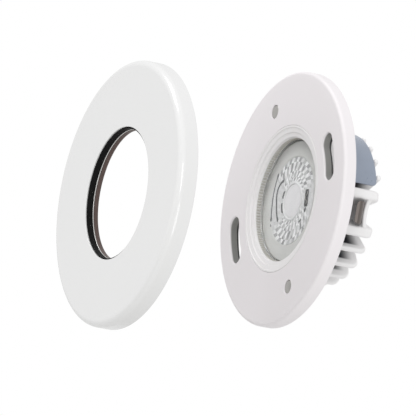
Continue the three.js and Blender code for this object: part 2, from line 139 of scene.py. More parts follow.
# ---- shader node groups ----
# A group's inputs with what they start as. A colour is a tuple, and all else is a number.
def newGroup(name, inputs, outputs):
    tree = bpy.data.node_groups.new(name, "ShaderNodeTree")
    for label, value in inputs.items():
        kind = "NodeSocketColor" if isinstance(value, tuple) else "NodeSocketFloat"
        tree.interface.new_socket(label, in_out="INPUT", socket_type=kind).default_value = value
    for label in outputs:
        kind = "NodeSocketColor" if label == "Color" else "NodeSocketFloat"
        tree.interface.new_socket(label, in_out="OUTPUT", socket_type=kind)
    return tree, tree.nodes.new("NodeGroupInput").outputs, tree.nodes.new("NodeGroupOutput").inputs


def addNode(tree, kind, values=(), **settings):
    node = tree.nodes.new(kind)
    for name, value in settings.items():
        setattr(node, name, value)
    for socket, value in dict(values).items():
        if hasattr(value, "is_output"):
            tree.links.new(value, node.inputs[socket])
        else:
            node.inputs[socket].default_value = value
    return node


def calc(tree, operation, *values, **settings):
    return addNode(tree, "ShaderNodeMath", dict(enumerate(values)), operation=operation,
        **settings).outputs[0]


def blend(tree, factor, first, second, **settings):
    values = {"Factor": factor, 6: first, 7: second}
    return addNode(tree, "ShaderNodeMix", values, data_type="RGBA", **settings).outputs[2]


def objectPlace(tree):
    return tree.nodes.new("ShaderNodeTexCoord").outputs["Object"]


def noiseAt(tree, scale, detail, **more):
    values = {"Vector": objectPlace(tree), "Scale": scale, "Detail": detail, **more}
    return addNode(tree, "ShaderNodeTexNoise", values).outputs[0]


# How far a place is from the axis that the two flat coordinates leave out
def flatRadius(tree, x, y):
    flat = addNode(tree, "ShaderNodeCombineXYZ", {"X": x, "Y": y})
    return addNode(tree, "ShaderNodeVectorMath", {0: flat.outputs[0]}, operation="LENGTH").outputs["Value"]


perMetre = 1000.0
broadGrain = {"scale": 45.0, "detail": 2.0}
toneSharpness = 1.6


# fine even grain, as paint, moulded plastic and rubber have
def makeGrainGroup():
    tree, start, end = newGroup("fineGrain", {"Size": 0.5, "Roughness": 0.5, "Spread": 0.1},
        ("Height", "Roughness"))
    fine = noiseAt(tree, calc(tree, "DIVIDE", perMetre, start["Size"]), 3.0, Roughness=0.6)
    broad = noiseAt(tree, broadGrain["scale"], broadGrain["detail"])
    drift = calc(tree, "SUBTRACT", calc(tree, "ADD", fine, broad), 1.0)
    rough = calc(tree, "MULTIPLY_ADD", drift, start["Spread"], start["Roughness"])
    tree.links.new(fine, end["Height"])
    tree.links.new(rough, end["Roughness"])
    return tree


# two close tones that drift into each other
def makeToneGroup():
    inputs = {"Light": (1, 1, 1, 1), "Dark": (0, 0, 0, 1), "Size": 20.0}
    tree, start, end = newGroup("toneDrift", inputs, ("Color",))
    noise = noiseAt(tree, calc(tree, "DIVIDE", perMetre, start["Size"]), 4.0)
    centred = calc(tree, "SUBTRACT", noise, 0.5)
    mask = calc(tree, "MULTIPLY_ADD", centred, toneSharpness, 0.5, use_clamp=True)
    tree.links.new(blend(tree, mask, start["Light"], start["Dark"]), end["Color"])
    return tree


# fine lines round the light's axis, as turned and rolled metal has
def makeTurnedGroup():
    tree, start, end = newGroup("turnedLines", {"Pitch": 0.3, "Drop": 0.0}, ("Height", "Mask"))
    x, y, z = addNode(tree, "ShaderNodeSeparateXYZ", {0: objectPlace(tree)}).outputs
    radius = flatRadius(tree, x, calc(tree, "MULTIPLY_ADD", start["Drop"], mm, z))
    turns = calc(tree, "DIVIDE", perMetre, start["Pitch"])
    scaled = calc(tree, "MULTIPLY", calc(tree, "ADD", radius, y), turns)
    values = {"W": scaled, "Scale": 1.0, "Detail": 3.0}
    lines = addNode(tree, "ShaderNodeTexNoise", values, noise_dimensions="1D").outputs[0]
    tree.links.new(lines, end["Height"])
    tree.links.new(calc(tree, "MULTIPLY_ADD", lines, 2.0, -0.5, use_clamp=True), end["Mask"])
    return tree


# Where painted shade goes: 1 past the To radius and the To depth, in millimetres from the light's axis and
# its mounting plane
def makeDepthGroup():
    inputs = {"Radius From": 28.0, "Radius To": 25.0, "Depth From": -50.0, "Depth To": -49.0}
    tree, start, end = newGroup("depthMask", inputs, ("Mask",))
    x, y, z = addNode(tree, "ShaderNodeSeparateXYZ", {0: objectPlace(tree)}).outputs
    masks = []
    for label, place in (("Radius", flatRadius(tree, x, z)), ("Depth", y)):
        values = {"Value": calc(tree, "MULTIPLY", place, perMetre)}
        values.update({"From Min": start[label + " From"], "From Max": start[label + " To"]})
        mask = addNode(tree, "ShaderNodeMapRange", values, interpolation_type="SMOOTHSTEP")
        masks.append(mask.outputs[0])
    tree.links.new(calc(tree, "MULTIPLY", *masks), end["Mask"])
    return tree


grainGroup = makeGrainGroup()
toneGroup = makeToneGroup()
turnedGroup = makeTurnedGroup()
depthGroup = makeDepthGroup()


def placeGroup(tree, group, values):
    node = tree.nodes.new("ShaderNodeGroup")
    node.node_tree = group
    for socket, value in values.items():
        node.inputs[socket].default_value = value
    return node


def rgba(colour, shade=1.0):
    return (colour[0] * shade, colour[1] * shade, colour[2] * shade, 1.0)


# What a finish may set on its surface, and what it is otherwise
surfaceSet = {"metallic": ("Metallic", 0.0), "ior": ("IOR", 1.5), "coat": ("Coat Weight", 0.0),
    "specular": ("Specular IOR Level", 0.5), "transmission": ("Transmission Weight", 0.0)}
coatRoughness = 0.05


def addBump(tree, height, strength, distance):
    values = {"Height": height, "Strength": strength, "Distance": distance * mm}
    return addNode(tree, "ShaderNodeBump", values)


# The base of every finish: a tone, a grain and its bump. The tone is given on for what covers it.
def newFinish(name, s):
    material = bpy.data.materials.new(name)
    material.use_nodes = True
    tree = material.node_tree
    surface = tree.nodes["Principled BSDF"]
    tone = placeGroup(tree, toneGroup,
        {"Light": rgba(s["colour"]), "Dark": rgba(s["colour"], s["darker"]),
        "Size": s.get("toneSize", 18.0)}).outputs["Color"]
    grain = placeGroup(tree, grainGroup,
        {"Size": s["grain"], "Roughness": s["roughness"], "Spread": s.get("spread", 0.12)})
    bump = addBump(tree, grain.outputs["Height"], s["bump"], s.get("depth", 0.05))
    tree.links.new(tone, surface.inputs["Base Color"])
    tree.links.new(grain.outputs["Roughness"], surface.inputs["Roughness"])
    tree.links.new(bump.outputs["Normal"], surface.inputs["Normal"])
    for key, (label, usual) in surfaceSet.items():
        surface.inputs[label].default_value = s.get(key, usual)
    surface.inputs["Coat Roughness"].default_value = coatRoughness
    return material, tree, surface, tone


def plainFinish(name, s):
    return newFinish(name, s)[0]


lineCut = {"strength": 0.2, "depth": 0.03}


# Metal with fine lines round the axis, which also darken it a little
def linedFinish(name, s):
    material, tree, surface, tone = newFinish(name, s)
    lines = placeGroup(tree, turnedGroup, {"Pitch": s["pitch"], "Drop": s.get("drop", 0.0)}).outputs
    shade = blend(tree, lines["Mask"], tone, rgba(s["colour"], s.get("lineShade", 0.8)))
    tree.links.new(shade, surface.inputs["Base Color"])
    cut = addBump(tree, lines["Height"], lineCut["strength"], lineCut["depth"])
    tree.links.new(surface.inputs["Normal"].links[0].from_socket, cut.inputs["Normal"])
    tree.links.new(cut.outputs["Normal"], surface.inputs["Normal"])
    return material


# Paint with painted shade where it lies deep: darker in slots, between fins and on the bezel's inner wall
def deepFinish(name, s):
    material, tree, surface, tone = newFinish(name, s)
    deep = dict(s["deep"])
    colour = rgba(deep.pop("colour"))
    mask = placeGroup(tree, depthGroup, deep).outputs["Mask"]
    if s.get("shaded"):
        share = addNode(tree, "ShaderNodeAttribute", attribute_name="shade")
        mask = calc(tree, "MULTIPLY", mask, share.outputs["Fac"])
    tree.links.new(blend(tree, mask, tone, colour), surface.inputs["Base Color"])
    return material


# A moulding whose facets each carry their own painted glint, a lighter or darker tone in place of the light
# each facet catches
def facetFinish(name, s):
    material, tree, surface, tone = newFinish(name, s)
    shade = addNode(tree, "ShaderNodeAttribute", attribute_name="shade").outputs["Color"]
    both = blend(tree, 1.0, tone, shade, blend_type="MULTIPLY")
    tree.links.new(both, surface.inputs["Base Color"])
    return material


# Clear glass or plastic, which lets the lamps' light through to what is behind it
def clearFinish(name, s):
    material, tree, surface = newFinish(name, s)[:3]
    path = tree.nodes.new("ShaderNodeLightPath")
    through = tree.nodes.new("ShaderNodeBsdfTransparent")
    values = {0: path.outputs["Is Shadow Ray"], 1: surface.outputs[0], 2: through.outputs[0]}
    mix = addNode(tree, "ShaderNodeMixShader", values)
    tree.links.new(mix.outputs[0], tree.nodes["Material Output"].inputs["Surface"])
    return material


# A finish's colour, roughness, grain size, bump, and how dark its darker tone is
def look(colour, roughness, grain, bump, darker, **more):
    return dict(colour=colour, roughness=roughness, grain=grain, bump=bump, darker=darker, **more)


finishSet = {
    "trimEnamel": look((0.80, 0.80, 0.80), 0.22, 0.9, 0.02, 0.99, coat=0.6),
    # The ribbed rim is part of the clear optic, drawn opaque; its grey is painted shade, the shaded bezel
    # wall seen through the clear ribs
    "ribbedRim": look((0.56, 0.545, 0.50), 0.3, 0.3, 0.08, 0.8),
    "frostedRing": look((0.66, 0.655, 0.635), 0.55, 0.18, 0.25, 0.93, toneSize=6.0),
    "blackRubber": look((0.004, 0.004, 0.004), 0.7, 0.4, 0.2, 0.6, specular=0.15),
    "darkFoam": look((0.10, 0.10, 0.10), 0.9, 0.5, 0.6, 0.5, depth=0.12, toneSize=1.2),
    "blackPlastic": look((0.022, 0.022, 0.024), 0.45, 0.3, 0.25, 0.7),
    "ratingFoil": look((0.33, 0.375, 0.46), 0.3, 0.5, 0.04, 0.85, metallic=0.3, toneSize=12.0),
    "silicone": look((0.42, 0.42, 0.41), 0.4, 0.5, 0.1, 0.92),
    "whitePlastic": look((0.86, 0.86, 0.85), 0.4, 0.3, 0.05, 0.97),
    "phosphor": look((0.93, 0.91, 0.82), 0.6, 0.15, 0.2, 0.96, toneSize=1.0),
    "ceramic": look((0.84, 0.84, 0.83), 0.5, 0.2, 0.1, 0.96),
    "boardMask": look((0.82, 0.82, 0.81), 0.35, 0.3, 0.05, 0.97),
    "greenMask": look((0.02, 0.13, 0.06), 0.35, 0.3, 0.08, 0.7, toneSize=4.0),
    "greyPad": look((0.32, 0.35, 0.37), 0.85, 0.4, 0.3, 0.85),
    "redInsulation": look((0.42, 0.03, 0.02), 0.4, 0.3, 0.1, 0.85),
    "blackInsulation": look((0.02, 0.02, 0.02), 0.4, 0.3, 0.1, 0.7),
    "blueSleeve": look((0.03, 0.06, 0.2), 0.25, 0.5, 0.05, 0.8),
    "greenPlastic": look((0.02, 0.16, 0.07), 0.4, 0.3, 0.1, 0.85),
    "ferrite": look((0.04, 0.04, 0.045), 0.6, 0.25, 0.4, 0.6, metallic=0.2),
    # The dark of the optic's strips, which are painted reflections
    "paintedReflectionDark": look((0.035, 0.035, 0.04), 0.3, 0.2, 0.05, 0.6, toneSize=2.0),
    "lensDome": look((0.81, 0.79, 0.807), 0.18, 0.8, 0.03, 0.93, toneSize=2.5, coat=0.5),
    "lensCollar": look((0.82, 0.81, 0.82), 0.1, 0.4, 0.03, 0.9, toneSize=2.0, coat=0.5),
    # Black for the contact blocks, and for the optic's marks, which are painted reflections
    "matteBlack": look((0.004, 0.004, 0.005), 0.7, 0.2, 0.05, 0.8),
}
# Painted shade: darker paint where shade falls, on the flange's slot and pocket walls, between the heat
# sink's fins near the flange, and on the bezel's inner wall behind the glass
deepSet = {
    "flangePaint": look((0.85, 0.82, 0.837), 0.48, 0.35, 0.06, 0.985, deep={"Radius From": 42.5,
        "Radius To": 42.0, "Depth From": -4.75, "Depth To": -4.1, "colour": (0.25, 0.25, 0.24)}),
    "castingPaint": look((0.93, 0.92, 0.925), 0.5, 0.6, 0.14, 0.95, toneSize=9.0, shaded=True,
        deep={"Radius From": 27.6, "Radius To": 26.6, "Depth From": 20.5, "Depth To": 14.5,
            "colour": (0.02, 0.022, 0.028)}),
    "bezelPlastic": look((0.86, 0.845, 0.85), 0.35, 0.4, 0.04, 0.98, deep={"Radius From": 24.5,
        "Radius To": 24.25, "Depth From": -2.9, "Depth To": -2.7, "colour": (0.64, 0.635, 0.62)}),
}
linedSet = {"magnetNickel": look((0.50, 0.49, 0.47), 0.35, 0.5, 0.1, 0.96, metallic=1.0, pitch=0.25,
    lineShade=0.85), "zincSteel": look((0.62, 0.61, 0.57), 0.32, 0.5, 0.1, 0.85, metallic=1.0, pitch=0.2,
    toneSize=3.0), "brightEdge": look((0.80, 0.79, 0.77), 0.25, 0.5, 0.1, 0.96, metallic=1.0, pitch=0.2,
    drop=11.92), "keeperSteel": look((0.135, 0.095, 0.085), 0.42, 0.5, 0.1, 0.7, metallic=0.55, pitch=0.35,
    drop=11.92, toneSize=7.0), "springSteel": look((0.19, 0.165, 0.153), 0.36, 0.5, 0.1, 0.75, metallic=0.7,
    pitch=0.3, toneSize=5.0)}
clearSet = {
    "coverGlass": look((0.98, 0.99, 0.99), 0.02, 0.5, 0.005, 0.99, spread=0.01, transmission=1.0, ior=1.3),
    "clearOptic": look((0.97, 0.98, 0.98), 0.04, 0.5, 0.02, 0.97, spread=0.02, transmission=0.9, ior=1.4),
}
finish = {name: plainFinish(name, s) for name, s in finishSet.items()}
finish.update({name: deepFinish(name, s) for name, s in deepSet.items()})
lensFacets = look((0.95, 0.94, 0.95), 0.12, 0.5, 0.02, 0.95, coat=0.4)
finish["lensFacets"] = facetFinish("lensFacets", lensFacets)
finish.update({name: linedFinish(name, s) for name, s in linedSet.items()})
finish.update({name: clearFinish(name, s) for name, s in clearSet.items()})
print("finishes made:", len(finish))


# ---- mesh helpers ----
def fromPy(name, verts, faces, material=None):
    mesh = bpy.data.meshes.new(name)
    mesh.from_pydata([Vector(v) * mm for v in verts], [], faces)
    mesh.update()
    return addObject(name, mesh, material)


def applyModifiers(piece):
    depsgraph = bpy.context.evaluated_depsgraph_get()
    mesh = bpy.data.meshes.new_from_object(piece.evaluated_get(depsgraph))
    piece.modifiers.clear()
    old = piece.data
    piece.data = mesh
    bpy.data.meshes.remove(old)
    return piece


weldDistance = 0.002


def weld(piece):
    mesh = bmesh.new()
    mesh.from_mesh(piece.data)
    bmesh.ops.remove_doubles(mesh, verts=mesh.verts, dist=weldDistance * mm)
    bmesh.ops.recalc_face_normals(mesh, faces=mesh.faces)
    mesh.to_mesh(piece.data)
    mesh.free()
    return piece


# Smooth shading that keeps the flats flat and the sharp edges sharp
def polish(piece, angle=38):
    piece.data.shade_smooth()
    piece.data.set_sharp_from_angle(angle=math.radians(angle))
    flat = piece.modifiers.new("flats", "WEIGHTED_NORMAL")
    flat.keep_sharp = True
    flat.weight = 80
    return applyModifiers(piece)


# Gives each face its own shade value, for the finishes that read it: the facets' painted glint tones, and
# where the heat sink takes painted shade
def shadeFaces(piece, shades):
    shade = piece.data.attributes.new("shade", "FLOAT_COLOR", "CORNER")
    for face in piece.data.polygons:
        tone = shades[face.index]
        for corner in face.loop_indices:
            shade.data[corner].color = (tone, tone, tone, 1.0)


def combine(piece, others, operation="DIFFERENCE"):
    for other in others:
        step = piece.modifiers.new("combine", "BOOLEAN")
        step.operation, step.solver, step.object = operation, "MANIFOLD", other
    applyModifiers(piece)
    for other in others:
        bpy.data.objects.remove(other)
    return piece


# A corner (radius, y, round) of a profile becomes an arc of that round
def roundedProfile(corners, closed, steps=5):
    places = []
    count = len(corners)
    for i, (r, y, turn) in enumerate(corners):
        here = Vector((r, y))
        ends = not closed and i in (0, count - 1)
        if turn <= 0 or ends:
            places.append(here)
            continue
        before = Vector(corners[i - 1][:2]) - here
        after = Vector(corners[(i + 1) % count][:2]) - here
        angle = before.angle(after)
        if angle > math.radians(178):
            places.append(here)
            continue
        reach = min(turn / math.tan(angle / 2), before.length * 0.49, after.length * 0.49)
        turn = reach * math.tan(angle / 2)
        inward = (before.normalized() + after.normalized()).normalized()
        centre = here + inward * (turn / math.sin(angle / 2))
        first = here + before.normalized() * reach - centre
        last = here + after.normalized() * reach - centre
        sweep = first.angle_signed(last)
        for k in range(steps + 1):
            spin = Matrix.Rotation(-sweep * k / steps, 2)
            places.append(centre + spin @ first)
    return places


# A solid of revolution about the Y axis. A profile that starts on the axis ends there too.
def turned(name, corners, material=None, sides=192, centre=(0, 0), steps=5):
    corners = [c if len(c) == 3 else (*c, 0) for c in corners]
    closed = corners[0][0] > 0
    places = roundedProfile(corners, closed, steps)
    verts, rings = [], []
    for r, y in places:
        if r < 1e-6:
            rings.append([len(verts)])
            verts.append((centre[0], y, centre[1]))
            continue
        rings.append(list(range(len(verts), len(verts) + sides)))
        for k in range(sides):
            a = fullTurn * k / sides
            verts.append((centre[0] + r * math.cos(a), y, centre[1] + r * math.sin(a)))
    faces = []
    for low, high in zip(rings, rings[1:] + rings[:1] if closed else rings[1:]):
        for k in range(sides):
            n = (k + 1) % sides
            corner = (low[k % len(low)], low[n % len(low)], high[n % len(high)], high[k % len(high)])
            face = tuple(dict.fromkeys(corner))
            if len(face) > 2:
                faces.append(face)
    return weld(fromPy(name, verts, faces, material))


# A ring and a disc with one round for all their edges
def flatRing(name, inner, outer, front, back, edge, material, **form):
    corners = [(inner, front, edge), (outer, front, edge), (outer, back, edge), (inner, back, edge)]
    return turned(name, corners, material, **form)


def disc(name, radius, front, back, edge, material=None, **form):
    return turned(name, [(0, front), (radius, front, edge), (radius, back, edge), (0, back)], material,
        **form)


# Loops of equal length joined one after another into a closed solid
def loft(name, loops, material=None):
    count = len(loops[0])
    verts = [place for loop in loops for place in loop]
    faces = []
    for level in range(len(loops) - 1):
        low, high = level * count, (level + 1) * count
        for k in range(count):
            n = (k + 1) % count
            faces.append((low + k, low + n, high + n, high + k))
    faces.append(tuple(range(count - 1, -1, -1)))
    faces.append(tuple(range(len(verts) - count, len(verts))))
    return weld(fromPy(name, verts, faces, material))


# Outlines in X and Z, one above the other in y
def stacked(name, layers, material=None):
    return loft(name, [[(x, y, z) for x, z in outline] for y, outline in layers], material)


# The way across a line at one of its places
def acrossLine(line, i):
    ahead = (line[min(i + 1, len(line) - 1)] - line[max(i - 1, 0)]).normalized()
    return Vector((-ahead.y, ahead.x))


# How far a rounded corner draws a side in, where the end is this near
def cornerPull(corner, toEnd):
    past = max(corner - toEnd, 0)
    return corner - math.sqrt(max(corner**2 - past**2, 0.0))


# A polygon with its corners rounded. A corner is (across, along, round).
def roundedOutline(corners, inset=0.0, steps=4):
    rounder = [(a, b, max(t - inset, 0.02)) for a, b, t in corners]
    return [tuple(p) for p in roundedProfile(rounder, True, steps)]


def boxOutline(width, length, turn, inset=0.0, centre=(0, 0), steps=4):
    w, l = width / 2 - inset, length / 2 - inset
    corners = [(-w, -l, turn), (w, -l, turn), (w, l, turn), (-w, l, turn)]
    return [(x + centre[0], z + centre[1]) for x, z in roundedOutline(corners, inset, steps)]


# Levels and insets that round both edges of a plate from low to high
def edgeLayers(low, high, turn, steps=3):
    angles = [k / steps * math.pi / 2 for k in range(steps + 1)]
    quarter = [(turn * (1 - math.cos(a)), turn * (1 - math.sin(a))) for a in angles]
    return [(low + d, i) for d, i in quarter] + [(high - d, i) for d, i in reversed(quarter)]


# The outline of a round-ended slot that follows a circle round the axis
def slotOutline(s, angle, grow=0.0, capSteps=14, sideSteps=16):
    middle, half = s["radius"], s["halfWidth"] + grow
    first, last = (math.radians(angle + sign * s["halfAngle"]) for sign in (-1, 1))

    def arc(centreRadius, centreAngle, radius, start, end, steps):
        cx, cz = centreRadius * math.cos(centreAngle), centreRadius * math.sin(centreAngle)
        return [(cx + radius * math.cos(start + (end - start) * k / steps),
            cz + radius * math.sin(start + (end - start) * k / steps)) for k in range(steps)]

    outline = arc(0, 0, middle + half, first, last, sideSteps)
    outline += arc(middle, last, half, last, last + math.pi, capSteps)
    outline += arc(0, 0, middle - half, last, first, sideSteps)
    outline += arc(middle, first, half, first + math.pi, first + fullTurn, capSteps)
    return outline


# A slot's cutter, flared at both faces so that it leaves rounded lips
def slotCutter(s, angle, front, back, lip, steps=4):
    layers = [(front - 1, lip)] + edgeLayers(front, back, lip, steps) + [(back + 1, lip)]
    return stacked("slotCutter", [(y, slotOutline(s, angle, grow)) for y, grow in layers])


def onCircle(radius, angle):
    return radius * math.cos(math.radians(angle)), radius * math.sin(math.radians(angle))


# ---- Geometry Nodes: copies round the axis ----
# Copies stand in equal groups round the axis, Step apart in a group. The groups are Group Step apart.
def makeRoundTree():
    tree = bpy.data.node_groups.new("copiesRound", "GeometryNodeTree")
    inputs = {"Copy": ("Object", None), "Count": ("Int", 3), "In Group": ("Int", 1),
        "First": ("Float", 0.0), "Step": ("Float", 0.0), "Group Step": ("Float", 2.0944),
        "Finish": ("Material", None)}
    for label, (kind, value) in inputs.items():
        socket = tree.interface.new_socket(label, in_out="INPUT", socket_type="NodeSocket" + kind)
        if value is not None:
            socket.default_value = value
    tree.interface.new_socket("Geometry", in_out="OUTPUT", socket_type="NodeSocketGeometry")
    start, end = tree.nodes.new("NodeGroupInput").outputs, tree.nodes.new("NodeGroupOutput").inputs
    source = addNode(tree, "GeometryNodeObjectInfo", {"Object": start["Copy"]})
    row = addNode(tree, "GeometryNodeMeshLine", {"Count": start["Count"], "Offset": (0, 0, 0)})
    index = tree.nodes.new("GeometryNodeInputIndex").outputs[0]
    group = calc(tree, "FLOOR", calc(tree, "DIVIDE", index, start["In Group"]))
    place = calc(tree, "MODULO", index, start["In Group"])
    inGroup = calc(tree, "MULTIPLY_ADD", place, start["Step"], start["First"])
    angle = calc(tree, "MULTIPLY_ADD", group, start["Group Step"], inGroup)
    turn = addNode(tree, "ShaderNodeCombineXYZ", {"Y": calc(tree, "MULTIPLY", angle, -1.0)})
    rotation = addNode(tree, "FunctionNodeEulerToRotation", {0: turn.outputs[0]})
    values = {"Points": row.outputs[0], "Instance": source.outputs["Geometry"],
        "Rotation": rotation.outputs[0]}
    copies = addNode(tree, "GeometryNodeInstanceOnPoints", values)
    real = addNode(tree, "GeometryNodeRealizeInstances", {0: copies.outputs[0]})
    values = {"Geometry": real.outputs[0], "Material": start["Finish"]}
    paint = addNode(tree, "GeometryNodeSetMaterial", values)
    tree.links.new(paint.outputs[0], end[0])
    return tree


roundTree = makeRoundTree()


def copiesRound(name, copy, material, count, first, step=0.0, inGroup=1, groupStep=None):
    piece = addObject(name, bpy.data.meshes.new(name))
    nodes = piece.modifiers.new("round", "NODES")
    nodes.node_group = roundTree
    apart = 360 / count if groupStep is None else groupStep
    values = {"Copy": copy, "Count": count, "In Group": inGroup, "First": math.radians(first),
        "Step": math.radians(step), "Group Step": math.radians(apart), "Finish": material}
    for item in roundTree.interface.items_tree:
        if item.in_out == "INPUT":
            nodes[item.identifier] = values[item.name]
    applyModifiers(piece)
    if not piece.data.materials:
        piece.data.materials.append(material)
    bpy.data.objects.remove(copy)
    return piece


def finishPiece(piece, body, slot, *nodes):
    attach(piece, body)
    if nodes:
        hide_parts(*nodes)


# ---- the flange ----
flangeSet = {"edge": 1.4, "backEdge": 0.3, "rimWidth": 3.0, "plate": 3.4, "seatRadius": 28.97, "seat": -2.6,
    "bossWall": 1.0, "bore": 26.1, "lip": 0.4, "inner": 0.35}
slotSet = {"radius": 37.7, "halfWidth": 3.7, "halfAngle": 9.4, "angles": (0, 180)}
magnetSet = {"radius": 2.5, "pocket": 2.68, "pocketDepth": 2.5, "edge": 0.25}
flangeScrewSet = {"circle": 27.6, "angles": (30, 150, 270), "headHole": 1.45, "hole": 0.95}


def makeFlange(s):
    front, back, outer = nodeSpan("front_flange")
    plateBack = front + s["plate"]
    boss = s["seatRadius"] + s["bossWall"]
    body = turned("flange", [(s["seatRadius"], front, 0.15), (outer, front, s["edge"]),
        (outer, back, s["backEdge"]), (outer - s["rimWidth"], back, s["backEdge"]),
        (outer - s["rimWidth"], plateBack, s["inner"]), (boss, plateBack, s["inner"]), (boss, back, 0.2),
        (s["bore"], back, 0.2), (s["bore"], s["seat"], 0.1), (s["seatRadius"], s["seat"], 0.1)],
        finish["flangePaint"], sides=256, steps=7)
    cutters = [slotCutter(slotSet, a, front, plateBack, s["lip"]) for a in slotSet["angles"]]
    for node in ("magnet_top", "magnet_bottom"):
        cutters.append(turned("pocketCutter",
            [(0, front - 1), (magnetSet["pocket"] + 0.2, front - 1), (magnetSet["pocket"] + 0.2, front),
            (magnetSet["pocket"], front + 0.2), (magnetSet["pocket"], front + magnetSet["pocketDepth"]),
            (0, front + magnetSet["pocketDepth"])], sides=48, centre=nodeMiddle(node)))
    for angle in flangeScrewSet["angles"]:
        centre = onCircle(flangeScrewSet["circle"], angle)
        cutters.append(turned("screwCutter",
            [(0, s["seat"] - 1), (flangeScrewSet["headHole"], s["seat"] - 1),
            (flangeScrewSet["headHole"], s["seat"] + 1.2), (flangeScrewSet["hole"], s["seat"] + 1.2),
            (flangeScrewSet["hole"], 1), (0, 1)], sides=24, centre=centre))
    combine(body, cutters)
    finishPiece(polish(body), "lamp", "flange_paint", "front_flange")


def makeMagnets(s):
    for node in ("magnet_top", "magnet_bottom"):
        front, back = nodeSpan(node)[:2]
        magnet = disc(node.replace("_", "Disc_"), s["radius"], front, back, s["edge"],
            finish["magnetNickel"], sides=64, centre=nodeMiddle(node), steps=3)
        finishPiece(polish(magnet), "lamp", "nickel_magnet", node)


gasketSet = {"inner": 30.6, "outer": 46.7, "margin": 1.8, "edge": 0.25}


def makeGasket(s):
    front, back = nodeSpan("flange_gasket")[:2]
    gasket = flatRing("gasket", s["inner"], s["outer"], front, back, s["edge"], finish["darkFoam"], steps=3)
    wide = dict(slotSet, halfWidth=slotSet["halfWidth"] + s["margin"])
    combine(gasket, [slotCutter(wide, a, front, back, s["edge"], 2) for a in slotSet["angles"]])
    finishPiece(polish(gasket), "lamp", "black_foam", "flange_gasket")


makeFlange(flangeSet)
makeMagnets(magnetSet)
makeGasket(gasketSet)
print("flange, magnets and gasket made")


# ---- the bezel and its ribbed rim ----
bezelSet = {"inner": 24.2, "edge": -2.8, "shoulder": 28.4, "back": -3.0, "skirt": 25.8,
    "steps": ((0.0, 0.0), (0.10, 0.40), (0.44, 0.52), (0.50, 0.72), (0.88, 0.84), (0.94, 1.0))}
ribSet = {"count": 132, "radius": 0.32, "front": -2.7, "back": -1.0, "sides": 8}


def makeBezel(s):
    front, back, outer = nodeSpan("lens_bezel")
    run, rise = s["shoulder"] - s["inner"], front - s["edge"]
    cone = [(s["inner"] + run * a, s["edge"] + rise * b, 0.12) for a, b in s["steps"]]
    bezel = turned("bezel", cone + [(outer, front, 0.15), (outer, s["back"], 0.1),
        (s["skirt"], s["back"], 0.1), (s["skirt"], back, 0.1), (s["inner"], back, 0.1)],
        finish["bezelPlastic"], sides=256, steps=4)
    finishPiece(polish(bezel, 30), "lamp", "bezel_white", "lens_bezel")


def makeRibs(s):
    rib = turned("rib", [(0, s["front"]), (s["radius"], s["front"] + 0.15, 0.1),
        (s["radius"], s["back"], 0.05), (0, s["back"])], sides=s["sides"],
        centre=(bezelSet["inner"] + 0.02, 0), steps=2)
    ribs = copiesRound("rimRibs", rib, finish["ribbedRim"], s["count"], 0)
    finishPiece(polish(ribs, 60), "lamp", "clear_optic")


# ---- glass and optic ----
glassSet = {"edge": 0.12}
opticSet = {"ringInner": 17.4, "rimInner": 19.5}
# The facets' tones are painted glints, lighter nearer the dome; where they sparkle the painted glints are
# strongest and the facets tilt most
facetSet = {
    "radii": (7.9, 8.6, 9.5, 10.6, 12.0, 13.6, 15.4, 17.3), "around": 52,
    "front": 0.32, "rise": 0.2, "depth": 0.16, "back": 0.95, "seed": 11,
    "tones": ((0.16, 0.55), (0.65, 1.1)), "plainTone": 0.72, "nearDomeHighlight": 0.15, "backTone": 0.8,
    "sparkle": ((62, 52), (257, 48)),  # the middle and half width, in degrees, of where the facets sparkle
    "calm": 0.12, "fade": 14,
}
domeSet = {"radius": 6.5, "collarInner": 6.6, "collar": 7.85, "front": -0.04, "rise": 0.22, "back": 0.75}


def makeGlass(s):
    front, back, outer = nodeSpan("cover_glass")
    glass = disc("windowGlass", outer, front, back, s["edge"], finish["coverGlass"], steps=2)
    finishPiece(polish(glass), "lamp", "clear_glass", "cover_glass")


def makeFrostedRing(s):
    front, back, outer = nodeSpan("collimator_optic")
    inner = s["ringInner"]
    ring = turned("opticRing", [(inner, front + 0.1, 0.05), (inner + 0.5, front, 0.2), (outer, front, 0.15),
        (outer, back, 0.15), (s["rimInner"], back, 0.2), (inner, 1.0, 0.1)], finish["frostedRing"],
        sides=256, steps=3)
    finishPiece(polish(ring), "lamp", "clear_optic", "collimator_optic")


# How strongly the facets stand out at an angle, in their tilt and in their painted glints: 1 inside the
# sparkling sectors, less between them
def sparkleAt(s, angle):
    strongest = s["calm"]
    for middle, half in s["sparkle"]:
        off = abs((angle - middle + 180) % 360 - 180)
        strongest = max(strongest, min(1.0, 1.0 - (off - half) / s["fade"]))
    return strongest


